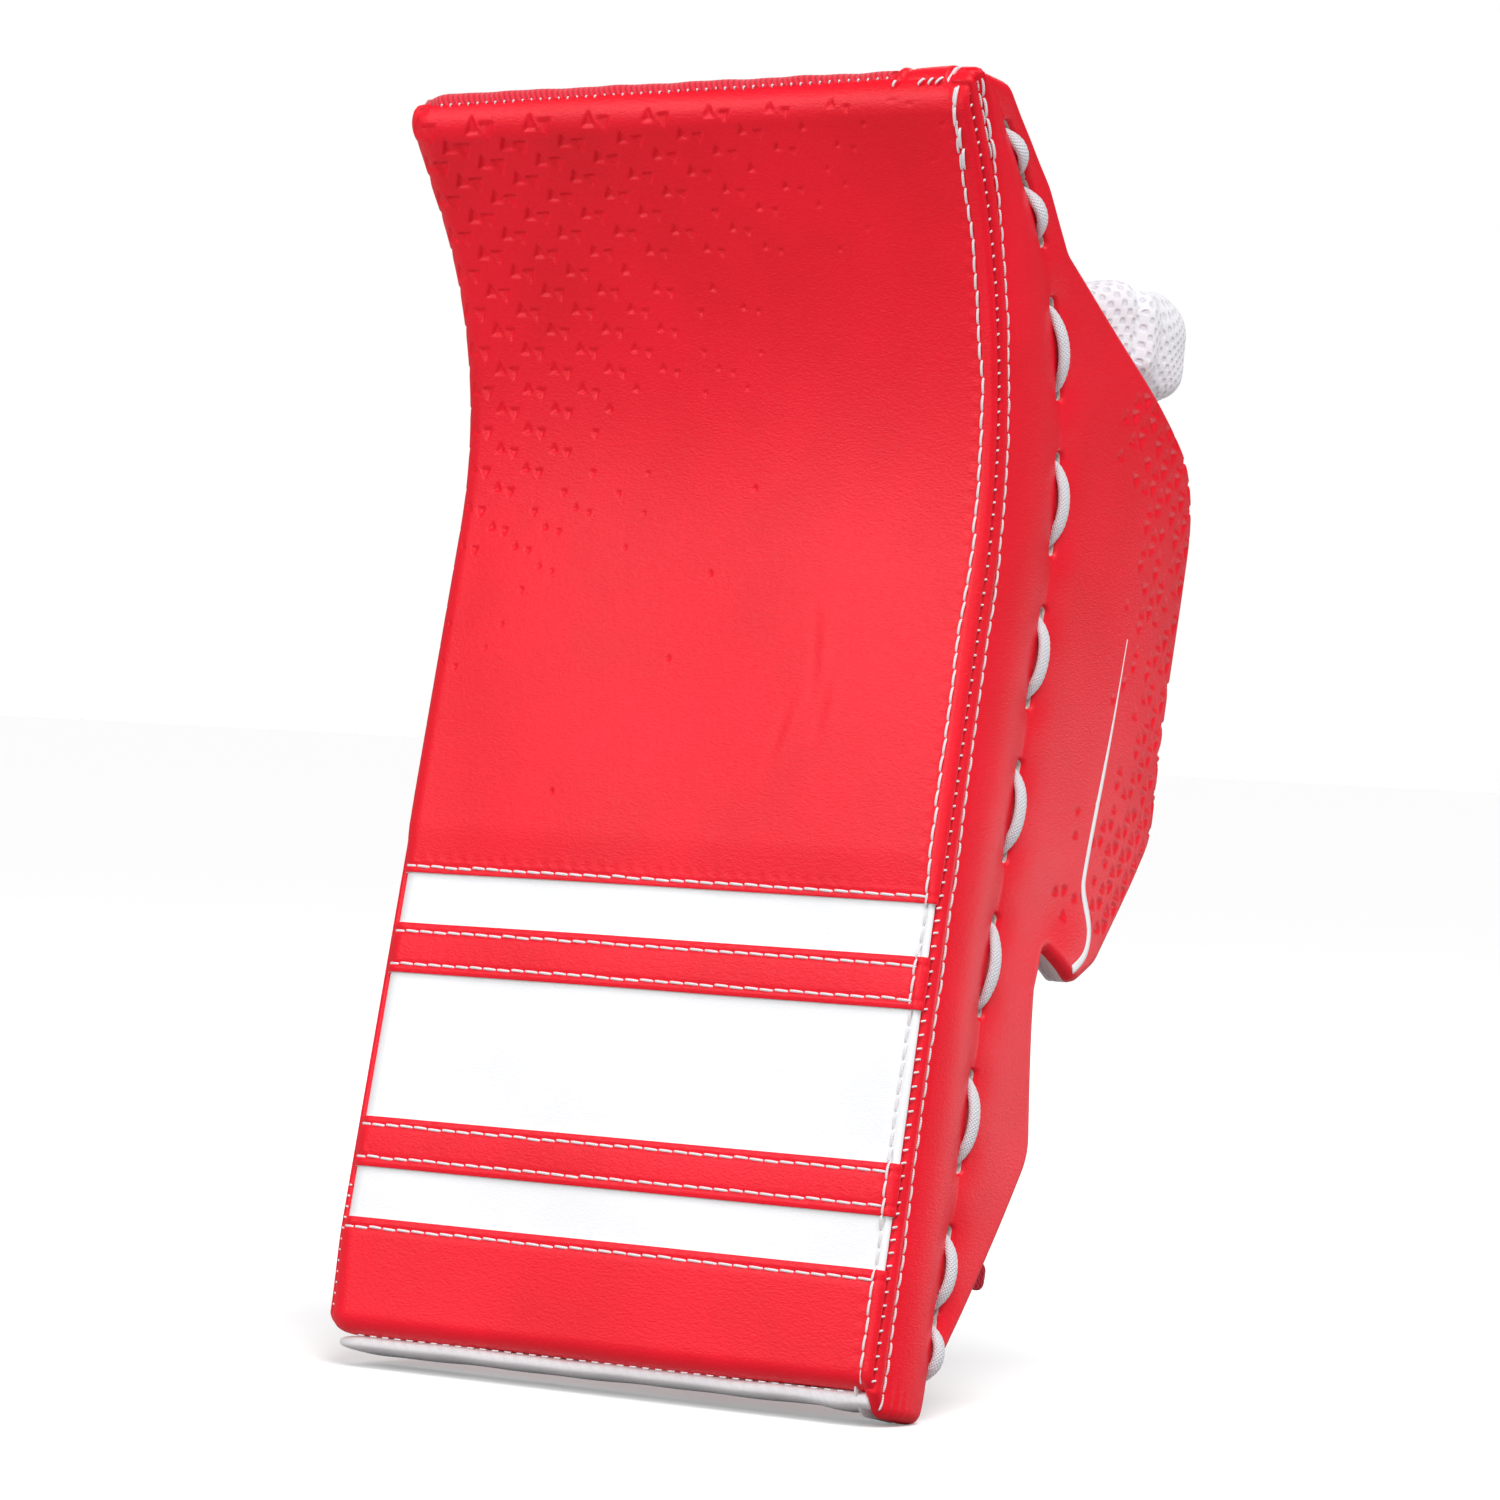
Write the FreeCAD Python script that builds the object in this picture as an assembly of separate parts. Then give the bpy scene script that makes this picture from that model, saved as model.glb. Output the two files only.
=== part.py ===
"""Ice-hockey goalie blocker for the right hand, in millimetres.

Built upright: X across the board towards the thumb, Y from the face towards the hand, Z up the straight
part of the face. The finished pieces are then leaned back and moved so that the hand opening is the origin.
"""
import FreeCAD
import Part
import math
import os
from FreeCAD import Vector

# Board
WIDTH = 203.0
LENGTH = 381.0              # along the face, from the bottom edge to the top edge
DEPTH = 24.0                # face plane to back plane, where the board is straight
TOP_DEPTH = 12.5            # thickness at the curled top end
LEAN_DEG = 11.7             # how far the finished blocker leans back
EDGES = {                   # forward tilt of each side edge, its straight length and its curl radius
    "little_finger": {"x": -WIDTH / 2, "tilt": -1.1, "straight": 249.0, "radius": 128.0},
    "thumb": {"x": WIDTH / 2, "tilt": 1.1, "straight": 236.0, "radius": 227.0},
}
LAYER_GAP = 0.05            # air between pieces that are glued or sewn face to face
SKIN = 1.2                  # synthetic leather
BASE_SKIN = 0.95            # white layer under the red panels
SHEET = 2.0                 # stiffener
BACK_PAD = 3.0
CAP = 5.0                   # soft cap under the bottom end
CAP_GAP = 0.55              # the board's end isn't square to its slightly tilted face
END_STRIP = 1.4             # woven strip over the top end
CORNER_TAB_WIDTH = 20.0     # leather tab at the thumb end of that strip
WIDE = (-200.0, 200.0)      # a span that reaches past the whole board
TALL = (-50.0, 450.0)

# Stripes, measured up the face from the bottom edge
STRIPES = {
    "face_bottom_panel": (0.0, 34.9),
    "red_band_lower": (50.3, 65.6),
    "red_band_upper": (110.0, 125.4),
    "face_top_panel": (140.9, LENGTH),
}

# Side panel with its flap
SIDE_SKIN = 1.2
SIDE_FOAM = 5.5
SIDE_LINING = 1.2
SIDE_THICKNESS = SIDE_SKIN + SIDE_FOAM + SIDE_LINING + 2 * LAYER_GAP
FLAP_BEND_START = 62.0      # behind this the flap curves in round the hand
FLAP_BEND_RADIUS = 200.0
SEAM_DEPTH = SKIN + BASE_SKIN + LAYER_GAP + 0.6
SIDE_OUTLINE = [            # corners down the rear of the side panel: y, z, corner radius
    (-46.0, 377.5, 3.0),
    (-28.0, 377.5, 8.0),
    (0.0, 355.0, 30.0),
    (15.0, 338.5, 10.0),
    (114.0, 291.0, 22.0),
    (119.5, 183.0, 9.0),
    (87.0, 139.0, 9.0),
    (73.0, 130.5, 7.0),
    (55.0, 138.5, 1.2),
    (54.5, 126.0, 8.0),
    (65.0, 78.0, 18.0),
    (26.0, 5.0, 12.0),
    (24.5, -6.5, 5.0),
    (8.0, -6.5, 6.0),
]

# Lace, running in and out of the side panel
LACE_DIAMETER = 4.4
LACE_LINE_Y = 29.5
LACE_STRAIGHT = 253.0       # height at which the lace line starts to curl forward
LACE_CURL_RADIUS = 141.0
LACE_STANDOFF = 0.4         # between the lace and the surface it runs over
LACE_BEND = 4.2
LACE_TIGHT_BEND = 3.4       # where the lace turns straight back out beside the hole it entered
LACE_TAIL = 5.0
LACE_PITCH = 22.9
LACE_HOLES = (
    [8.0, 22.0, 29.0] + [48.4 + LACE_PITCH * i for i in range(14)] + [360.1, 367.1, 380.5]
)
HOLE_HALF_LENGTH = 3.9
HOLE_RADIUS = 2.7
KNOT_RADIUS = 2.9
KNOT_LENGTH = 6.0
STRIP_THICKNESS = 2.2
STRIP_FRONT = LACE_LINE_Y - DEPTH - LAYER_GAP
STRIP_REAR = 6.5
STRIP_FOOT = 12.0           # width of the part that lies on the board's back
STRIP_FOOT_THICKNESS = 1.9
STRIP_Z = (4.0, 228.0)      # where the strip lies flat on the board
STRIP_SWEEP_PAST = 3.0      # degrees that its curl reaches past the last lace hole

# Glove on the back of the board
GLOVE_X = (-52.0, 58.0)
PAD_Y = (27.0, 51.0)
ATTACHMENT_Z = (92.0, 230.0)
GUARD_BOTTOM = 98.0
GUARD_DEPTH = 15.0          # pad behind the fingers
PALM_Y = (94.3, 96.5)
GLOVE_Z = (206.0, 316.0)
GLOVE_WALL = 3.0
THUMB_WINDOW_Z = (248.0, 292.0)
GRIP_X = (-46.0, 48.0)      # grip patch on the palm
GRIP_Z = (212.0, 278.0)
GRIP_THICKNESS = 1.05
CUFF_CENTRE = (18.0, 78.0)
CUFF_OUTER = (74.0, 45.0)
CUFF_INNER = (53.0, 21.0)
CUFF_Z = (316.3, 348.0)
CUFF_ROUNDING = 9.0
LOBE_X = (46.0, 86.0)       # extra padding on the thumb side of the cuff
LOBE_Y = (88.0, 120.0)
LOBE_Z = (316.3, 343.0)
LOBE_ROUNDING = 11.0

# Finger stalls: centre across the board, and length as a share of the longest finger
FINGERS = {
    "index_finger": (40.0, 0.94),
    "middle_finger": (15.0, 1.0),
    "ring_finger": (-10.0, 0.95),
    "little_finger": (-35.0, 0.80),
}
STALL_WIDTH = 23.0
STALL_Y = (64.0, 94.0)
STALL_WALL = 3.0
STALL_CORNER = 7.0
STALL_TOP = 203.0
STALL_BASE_LENGTH = 46.0
STALL_TIP_LENGTH = 52.0
KNUCKLE_GAP = 2.5
FINGER_PAD_DEPTH = 9.5
FINGER_AXIS_Y = 97.0        # the stalls bend about a line just outside their palm side

THUMB_X = (61.5, 83.5)
THUMB_Y = (62.0, 92.0)
THUMB_ROOT_Z = (244.0, 296.0)
THUMB_LENGTHS = (34.0, 37.0)

# Wrist strap
STRAP_Z = (288.0, 313.0)
STRAP_AXIS = (-56.5, 99.4)
STRAP_X = (-55.4, 54.0)
STRAP_Y = (98.65, 100.2)
PULL_END_LENGTH = 13.0
PATCH_Z = (290.5, 310.5)    # hook and loop patches
HOOK_X = (16.0, 52.0)
HOOK_THICKNESS = 0.8
LOOP_X = (8.0, 56.0)
LOOP_THICKNESS = 0.95
ANCHOR_THICKNESS = 2.15
ANCHOR_Y = (66.0, 96.5)

# Pull tab behind the side panel
TAB_AXIS = (92.1, 44.2)
TAB_Y = (44.6, 64.5)
TAB_Z = (37.0, 45.5)
TAB_THICKNESS = 1.8
TAB_SEAM_Y = (37.0, 43.0)

PIECES = {}


# ---------------------------------------------------------------- helpers

def box(x, y, z):
    """A block between the low and high value given for each axis."""
    size = [span[1] - span[0] for span in (x, y, z)]
    return Part.makeBox(*size, Vector(x[0], y[0], z[0]))


def pillar(x, y, z, radius):
    """A block whose upright edges are rounded."""
    block = box(x, y, z)
    upright = [e for e in block.Edges if abs(e.tangentAt(e.FirstParameter).z) > 0.9]
    return block.makeFillet(radius, upright)


def cushion(x, y, z, radius):
    """A block with every edge rounded."""
    block = box(x, y, z)
    return block.makeFillet(radius, block.Edges)


def stall(x, y, z, closed):
    """A finger stall: a rounded tube open at the top, and at the bottom too unless closed."""
    outer = pillar(x, y, z, STALL_CORNER)
    if closed:
        foot = [e for e in outer.Edges if e.BoundBox.ZMax < z[0] + 0.01]
        outer = outer.makeFillet(STALL_CORNER - 1.0, foot)
    floor = STALL_WALL if closed else -1.0
    inner = pillar(
        (x[0] + STALL_WALL, x[1] - STALL_WALL),
        (y[0] + STALL_WALL, y[1] - STALL_WALL),
        (z[0] + floor, z[1] + 1.0),
        STALL_CORNER - STALL_WALL,
    )
    return outer.cut(inner)


def rounded_path(points, radii):
    """Straight edges through the points, with a tangent arc of the given radius at each inner point."""
    edges = []
    last = points[0]
    for before, corner, after, radius in zip(points, points[1:], points[2:], radii):
        d1 = (corner - before).normalize()
        d2 = (after - corner).normalize()
        half_turn = d1.getAngle(d2) / 2
        towards_centre = (d2 - d1).normalize()
        start = corner - d1 * (radius * math.tan(half_turn))
        end = corner + d2 * (radius * math.tan(half_turn))
        middle = corner + towards_centre * (radius / math.cos(half_turn) - radius)
        edges.append(Part.LineSegment(last, start).toShape())
        edges.append(Part.Arc(start, middle, end).toShape())
        last = end
    edges.append(Part.LineSegment(last, points[-1]).toShape())
    return edges


# ---------------------------------------------------------------- board profile

def curl_centre(edge):
    """Centre of the curl of one side edge, as (y, z)."""
    tilt = math.radians(edge["tilt"])
    y = -edge["straight"] * math.sin(tilt) - edge["radius"] * math.cos(tilt)
    z = edge["straight"] * math.cos(tilt) - edge["radius"] * math.sin(tilt)
    return y, z


def face_point(edge, along, depth):
    """The point this far up the face of one side edge, and this far behind the face."""
    tilt = math.radians(edge["tilt"])
    if along <= edge["straight"]:
        y = -along * math.sin(tilt) + depth * math.cos(tilt)
        z = along * math.cos(tilt) + depth * math.sin(tilt)
    else:
        angle = tilt + (along - edge["straight"]) / edge["radius"]
        centre_y, centre_z = curl_centre(edge)
        y = centre_y + (edge["radius"] + depth) * math.cos(angle)
        z = centre_z + (edge["radius"] + depth) * math.sin(angle)
    return Vector(edge["x"], y, z)


def face_path(edge, depth, start, end):
    """Edges up the face of one side edge, at a constant depth behind it."""
    path = []
    bend = edge["straight"]
    if start < bend:
        low = face_point(edge, start, depth)
        high = face_point(edge, min(end, bend), depth)
        path.append(Part.LineSegment(low, high).toShape())
    if end > bend:
        first = max(start, bend)
        points = [face_point(edge, s, depth) for s in (first, (first + end) / 2, end)]
        path.append(Part.Arc(*points).toShape())
    return path


def back_path(edge, inset):
    """Edges up the back of one side edge: flat, then an arc to the thinner top end."""
    top = face_point(edge, LENGTH, TOP_DEPTH)
    bend_z = curl_centre(edge)[1]
    drop = DEPTH - top.y
    radius = (drop ** 2 + (top.z - bend_z) ** 2) / (2 * drop)
    end_angle = math.asin((top.z - bend_z) / radius)

    def arc_point(angle):
        reach = radius - inset
        return Vector(edge["x"], DEPTH - radius + reach * math.cos(angle), bend_z + reach * math.sin(angle))

    points = [arc_point(share * end_angle) for share in (0.0, 0.5, 1.0)]
    low = Vector(edge["x"], DEPTH - inset, 0)
    return [Part.LineSegment(low, points[0]).toShape(), Part.Arc(*points).toShape()]


def section(front, back):
    """The closed wire between two paths that run the same way."""
    foot = Part.LineSegment(front[0].Vertexes[0].Point, back[0].Vertexes[0].Point).toShape()
    head = Part.LineSegment(front[-1].Vertexes[-1].Point, back[-1].Vertexes[-1].Point).toShape()
    return Part.Wire(Part.__sortEdges__(front + [head] + back + [foot]))


def between(sections, x=None):
    """The solid ruled between the two edge sections, cut to a span across the board."""
    solid = Part.makeLoft(sections, True, True)
    if x is None:
        return solid
    return solid.common(box(x, WIDE, TALL))


def face_layer(start, end, near, far):
    """A layer of the face: from start to end up it, from near to far behind it."""
    return between([
        section(face_path(edge, near, start, end), face_path(edge, far, start, end))
        for edge in EDGES.values()
    ])


def body_layer(near, inset, x):
    """A layer from this far behind the face to this far inside the back."""
    return between([
        section(face_path(edge, near, 0, LENGTH), back_path(edge, inset))
        for edge in EDGES.values()
    ], x)


def back_layer(outer, inner, x):
    """A layer between two insets from the back."""
    return between([
        section(back_path(edge, inner), back_path(edge, outer))
        for edge in EDGES.values()
    ], x)


# ---------------------------------------------------------------- board

def make_board():
    inside = (-WIDTH / 2 + SKIN + LAYER_GAP, WIDTH / 2 - SIDE_THICKNESS - LAYER_GAP)
    base_front = SKIN + LAYER_GAP
    core_front = base_front + BASE_SKIN + LAYER_GAP
    pad_inset = SKIN + LAYER_GAP
    sheet_inset = pad_inset + BACK_PAD + LAYER_GAP
    core_inset = sheet_inset + SHEET + LAYER_GAP
    for name, (start, end) in STRIPES.items():
        PIECES[name] = face_layer(start, end, 0, SKIN)
    PIECES["white_base_panel"] = face_layer(0, LENGTH, base_front, base_front + BASE_SKIN)
    PIECES["board_foam_core"] = body_layer(core_front, core_inset, inside)
    PIECES["board_stiffener"] = back_layer(sheet_inset, sheet_inset + SHEET, inside)
    PIECES["board_back_padding"] = back_layer(pad_inset, pad_inset + BACK_PAD, inside)
    PIECES["board_back_skin"] = back_layer(0, SKIN, inside)
    wall = (-WIDTH / 2, -WIDTH / 2 + SKIN)
    PIECES["little_finger_side_wall"] = body_layer(core_front, 0, wall)
    end_strip = face_layer(LENGTH + LAYER_GAP, LENGTH + END_STRIP, 0, TOP_DEPTH)
    tab_x = (inside[1] - CORNER_TAB_WIDTH, inside[1])
    PIECES["top_end_strip"] = end_strip.common(box((-WIDTH / 2, tab_x[0] - LAYER_GAP), WIDE, TALL))
    PIECES["top_corner_tab"] = end_strip.common(box(tab_x, WIDE, TALL))
    cap = face_layer(-CAP, -CAP_GAP, 0, DEPTH - 0.5)
    PIECES["bottom_end_cap"] = cap.common(box((-WIDTH / 2, inside[1]), WIDE, TALL))


# ---------------------------------------------------------------- side panel

def lace_point(along):
    """The (y, z) point this far up the lace line."""
    if along <= LACE_STRAIGHT:
        return LACE_LINE_Y, along
    angle = (along - LACE_STRAIGHT) / LACE_CURL_RADIUS
    y = LACE_LINE_Y - LACE_CURL_RADIUS * (1 - math.cos(angle))
    return y, LACE_STRAIGHT + LACE_CURL_RADIUS * math.sin(angle)


def lace_holes():
    """Slots for the lace, long way up the lace line."""
    slots = []
    half = HOLE_HALF_LENGTH - HOLE_RADIUS
    for along in LACE_HOLES:
        y, z = lace_point(along)
        turn = max(0.0, math.degrees((along - LACE_STRAIGHT) / LACE_CURL_RADIUS))
        ends = [
            Part.makeCylinder(HOLE_RADIUS, 40, Vector(0, 0, side * half), Vector(1, 0, 0))
            for side in (-1, 1)
        ]
        middle = box((0, 40), (-HOLE_RADIUS, HOLE_RADIUS), (-half, half))
        slot = middle.fuse(ends)
        slot.rotate(Vector(0, 0, 0), Vector(1, 0, 0), turn)
        slot.translate(Vector(WIDTH / 2 - 30, y, z))
        slots.append(slot)
    return Part.makeCompound(slots)


def side_outline():
    """The side panel's shape seen from the side, as a solid through its whole thickness."""
    edge = EDGES["thumb"]
    front = face_path(edge, SEAM_DEPTH, 0, LENGTH)
    top = face_point(edge, LENGTH, SEAM_DEPTH)
    foot = face_point(edge, 0, SEAM_DEPTH)
    corners = [Vector(edge["x"], y, z) for y, z, _ in SIDE_OUTLINE]
    rear = rounded_path([top] + corners + [foot], [r for _, _, r in SIDE_OUTLINE])
    face = Part.Face(Part.Wire(Part.__sortEdges__(front + rear)))
    face.translate(Vector(-30, 0, 0))
    return face.extrude(Vector(60, 0, 0))


def side_sheet(outer, inner):
    """An upright sheet between two depths inside the side, straight and then curved in like the flap."""
    centre = Vector(WIDTH / 2 - FLAP_BEND_RADIUS, FLAP_BEND_START, 0)
    sweep = math.radians(20)

    def path(inset):
        radius = FLAP_BEND_RADIUS - inset
        arc = [
            centre + Vector(radius * math.cos(share * sweep), radius * math.sin(share * sweep), 0)
            for share in (0.0, 0.5, 1.0)
        ]
        start = Vector(arc[0].x, -80, 0)
        return [Part.LineSegment(start, arc[0]).toShape(), Part.Arc(*arc).toShape()]

    plan = Part.Face(section(path(outer), path(inner)))
    plan.translate(Vector(0, 0, -30))
    return plan.extrude(Vector(0, 0, 440))


def make_side_panel():
    outline = side_outline()
    holes = lace_holes()
    layers = {
        "side_panel_skin": (0.0, SIDE_SKIN),
        "side_panel_foam": (SIDE_SKIN + LAYER_GAP, SIDE_SKIN + LAYER_GAP + SIDE_FOAM),
        "side_panel_lining": (SIDE_THICKNESS - SIDE_LINING, SIDE_THICKNESS),
    }
    for name, (outer, inner) in layers.items():
        PIECES[name] = side_sheet(outer, inner).common(outline).cut(holes)
    PIECES["lacing_strip"] = lacing_strip().cut(holes)


def lacing_strip():
    """The flange on the back of the board that the lace ties the side panel to."""
    outer_x = WIDTH / 2 - SIDE_THICKNESS - LAYER_GAP
    inner_x = outer_x - STRIP_THICKNESS
    low, high = STRIP_Z
    upright_y = (LACE_LINE_Y - STRIP_FRONT, LACE_LINE_Y + STRIP_REAR)
    upright = box((inner_x, outer_x), upright_y, (low, LACE_STRAIGHT))
    sweep = (LACE_HOLES[-1] - LACE_STRAIGHT) / LACE_CURL_RADIUS + math.radians(STRIP_SWEEP_PAST)
    centre = Vector(inner_x, LACE_LINE_Y - LACE_CURL_RADIUS, LACE_STRAIGHT)

    def arc(radius):
        points = [
            centre + Vector(0, radius * math.cos(share * sweep), radius * math.sin(share * sweep))
            for share in (0.0, 0.5, 1.0)
        ]
        return [Part.Arc(*points).toShape()]

    curl = Part.Face(section(arc(LACE_CURL_RADIUS - STRIP_FRONT), arc(LACE_CURL_RADIUS + STRIP_REAR)))
    curl = curl.extrude(Vector(STRIP_THICKNESS, 0, 0))
    back = DEPTH + LAYER_GAP
    foot = box((outer_x - STRIP_FOOT, outer_x), (back, back + STRIP_FOOT_THICKNESS), STRIP_Z)
    board = body_layer(0, -2 * LAYER_GAP, None)
    return upright.fuse([curl, foot]).cut(board).removeSplitter()


def make_lace():
    """One lace through every hole, ending in a knot behind the lacing strip at each end."""
    clear = LACE_DIAMETER / 2 + LACE_STANDOFF
    outside = WIDTH / 2 + clear
    inside = WIDTH / 2 - SIDE_THICKNESS - LAYER_GAP - STRIP_THICKNESS - clear
    tail = inside - LACE_TAIL
    points = [Vector(tail, *lace_point(LACE_HOLES[0]))]
    for number, along in enumerate(LACE_HOLES):
        sides = (inside, outside) if number % 2 == 0 else (outside, inside)
        points += [Vector(x, *lace_point(along)) for x in sides]
    points[1:2] = []
    points[-1] = Vector(tail, *lace_point(LACE_HOLES[-1]))
    radii = []
    for before, corner, after in zip(points, points[1:], points[2:]):
        shortest = min((corner - before).Length, (after - corner).Length)
        radii.append(LACE_BEND if shortest > 2 * LACE_BEND else LACE_TIGHT_BEND)
    path = Part.Wire(rounded_path(points, radii))
    ring = Part.Wire(Part.makeCircle(LACE_DIAMETER / 2, points[0], Vector(1, 0, 0)))
    PIECES["side_lace"] = path.makePipeShell([ring], True, False)
    PIECES["lace_knots"] = Part.makeCompound([knot(end) for end in (points[0], points[-1])])


def knot(end):
    """A knot whose outer face meets the lace's end."""
    shape = Part.makeCylinder(KNOT_RADIUS, KNOT_LENGTH, end - Vector(KNOT_LENGTH, 0, 0), Vector(1, 0, 0))
    return shape.makeFillet(1.2, [e for e in shape.Edges if e.Curve.TypeId == "Part::GeomCircle"])


def make_pull_tab():
    half = TAB_THICKNESS / 2
    x = (TAB_AXIS[0] - half, TAB_AXIS[0] + half)
    PIECES["pull_tab"] = box(x, TAB_Y, TAB_Z)
    seam_x = (x[0] - 0.6, WIDTH / 2 - SIDE_THICKNESS - LAYER_GAP)
    PIECES["pull_tab_seam"] = box(seam_x, TAB_SEAM_Y, (TAB_Z[0] - 1.5, TAB_Z[1] + 1.5))


# ---------------------------------------------------------------- glove

def make_glove_body():
    low, high = GLOVE_Z
    left, right = GLOVE_X
    panel_y = (DEPTH + LAYER_GAP, PAD_Y[0] - LAYER_GAP)
    PIECES["attachment_panel"] = pillar((left, right), panel_y, ATTACHMENT_Z, 1.0)
    PIECES["hand_back_pad"] = pillar((left, right), PAD_Y, (low, high), 6.0)
    guard_y = (PAD_Y[0], PAD_Y[0] + GUARD_DEPTH)
    PIECES["finger_guard_pad"] = cushion((left + 2, right - 2), guard_y, (GUARD_BOTTOM, low - 6), 4.0)
    wall_y = (PAD_Y[0] + 3.0, PALM_Y[0] - LAYER_GAP)
    PIECES["little_finger_gusset"] = box((left - GLOVE_WALL, left - LAYER_GAP), wall_y, (low, high))
    thumb_wall = box((right + LAYER_GAP, right + GLOVE_WALL), wall_y, (low, high))
    window = box((right - 5, right + 10), thumb_window_y(), THUMB_WINDOW_Z)
    PIECES["thumb_gusset"] = thumb_wall.cut(window)
    PIECES["palm_panel"] = box((left - GLOVE_WALL, right + GLOVE_WALL), PALM_Y, (low, high))
    patch_front = PALM_Y[1] + LAYER_GAP
    PIECES["palm_grip_patch"] = box(GRIP_X, (patch_front, patch_front + GRIP_THICKNESS), GRIP_Z)


def thumb_window_y():
    return THUMB_Y[0] + STALL_WALL, THUMB_Y[1] - STALL_WALL


def ellipse_column(radii, z):
    """An upright column on the cuff's centre with an elliptical section."""
    centre = Vector(CUFF_CENTRE[0], CUFF_CENTRE[1], z[0])
    shape = Part.Ellipse(centre, radii[0], radii[1]).toShape()
    return Part.Face(Part.Wire(shape)).extrude(Vector(0, 0, z[1] - z[0]))


def make_cuff():
    """The soft rolled collar round the hand opening."""
    outer = ellipse_column(CUFF_OUTER, CUFF_Z)
    outer = outer.makeFillet(CUFF_ROUNDING, [e for e in outer.Edges if e.BoundBox.ZLength < 0.01])
    inner = ellipse_column(CUFF_INNER, (CUFF_Z[0] - 1, CUFF_Z[1] + 1))
    PIECES["cuff_roll"] = outer.cut(inner)
    around = [radius + LAYER_GAP for radius in CUFF_OUTER]
    beside = ellipse_column(around, (CUFF_Z[0] - 10, CUFF_Z[1] + 1))
    PIECES["cuff_thumb_lobe"] = cushion(LOBE_X, LOBE_Y, LOBE_Z, LOBE_ROUNDING).cut(beside)


def make_fingers():
    for name, (centre, share) in FINGERS.items():
        x = (centre - STALL_WIDTH / 2, centre + STALL_WIDTH / 2)
        base_low = STALL_TOP - STALL_BASE_LENGTH * share
        tip_high = base_low - KNUCKLE_GAP
        tip_low = tip_high - STALL_TIP_LENGTH * share
        PIECES[name + "_base"] = stall(x, STALL_Y, (base_low, STALL_TOP), closed=False)
        PIECES[name + "_tip"] = stall(x, STALL_Y, (tip_low, tip_high), closed=True)
        pad_y = (STALL_Y[0] - LAYER_GAP - FINGER_PAD_DEPTH, STALL_Y[0] - LAYER_GAP)
        PIECES[name + "_pad"] = cushion((x[0] + 2, x[1] - 2), pad_y, (base_low + 2, STALL_TOP - 2), 3.0)


def make_thumb():
    root_low, root_high = THUMB_ROOT_Z
    root = pillar(THUMB_X, THUMB_Y, THUMB_ROOT_Z, 5.0)
    hollow = box(
        (THUMB_X[0] - 1, THUMB_X[1] - STALL_WALL), thumb_window_y(), (root_low - 1, root_high - STALL_WALL)
    )
    PIECES["thumb_root"] = root.cut(hollow)
    base_high = root_low - KNUCKLE_GAP
    base_low = base_high - THUMB_LENGTHS[0]
    tip_high = base_low - KNUCKLE_GAP
    tip_low = tip_high - THUMB_LENGTHS[1]
    PIECES["thumb_base"] = stall(THUMB_X, THUMB_Y, (base_low, base_high), closed=False)
    PIECES["thumb_tip"] = stall(THUMB_X, THUMB_Y, (tip_low, tip_high), closed=True)


def make_strap():
    """The wrist strap that closes over the palm side, and what it closes on."""
    low, high = STRAP_Z
    hook_back = STRAP_Y[0] - LAYER_GAP
    loop_front = PALM_Y[1] + LAYER_GAP
    anchor_right = GLOVE_X[0] - GLOVE_WALL - LAYER_GAP
    end_x = (STRAP_X[1] + LAYER_GAP, STRAP_X[1] + PULL_END_LENGTH)
    end_y = (STRAP_Y[0] - 0.4, STRAP_Y[1] + 0.4)
    around_z = (low - 1, high + 1)
    PIECES["strap_webbing"] = box(STRAP_X, STRAP_Y, STRAP_Z)
    PIECES["strap_hook_patch"] = box(HOOK_X, (hook_back - HOOK_THICKNESS, hook_back), PATCH_Z)
    PIECES["strap_loop_patch"] = box(LOOP_X, (loop_front, loop_front + LOOP_THICKNESS), PATCH_Z)
    PIECES["strap_pull_end"] = pillar(end_x, end_y, around_z, 1.0)
    PIECES["strap_anchor"] = box((anchor_right - ANCHOR_THICKNESS, anchor_right), ANCHOR_Y, around_z)


# ---------------------------------------------------------------- finished frame

def hand_entry():
    """Centre of the cuff's top, where the hand goes in."""
    return Vector(CUFF_CENTRE[0], CUFF_CENTRE[1], CUFF_Z[1])


def finished(point):
    """A point or direction of the upright blocker, leaned back."""
    return FreeCAD.Rotation(Vector(1, 0, 0), -LEAN_DEG).multVec(point)


def export_all():
    os.makedirs("parts", exist_ok=True)
    origin = finished(hand_entry())
    for name, shape in PIECES.items():
        placed = shape.copy()
        placed.rotate(Vector(0, 0, 0), Vector(1, 0, 0), -LEAN_DEG)
        placed.translate(-origin)
        placed.exportStep("parts/" + name + ".step")


make_board()
make_side_panel()
make_lace()
make_pull_tab()
make_glove_body()
make_cuff()
make_fingers()
make_thumb()
make_strap()
export_all()
print(len(PIECES), "pieces")
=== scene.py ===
"""Looks of the goalie blocker: padded leather, stitching, lacing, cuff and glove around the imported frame.

Shapes are worked out in the upright frame the board was drawn in, in millimetres: X across towards the thumb,
Y from the face towards the hand, Z up. to_row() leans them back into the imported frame, in metres.
"""
import math

import bmesh
import bpy
import numpy as np
from mathutils import Matrix, Vector


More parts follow.
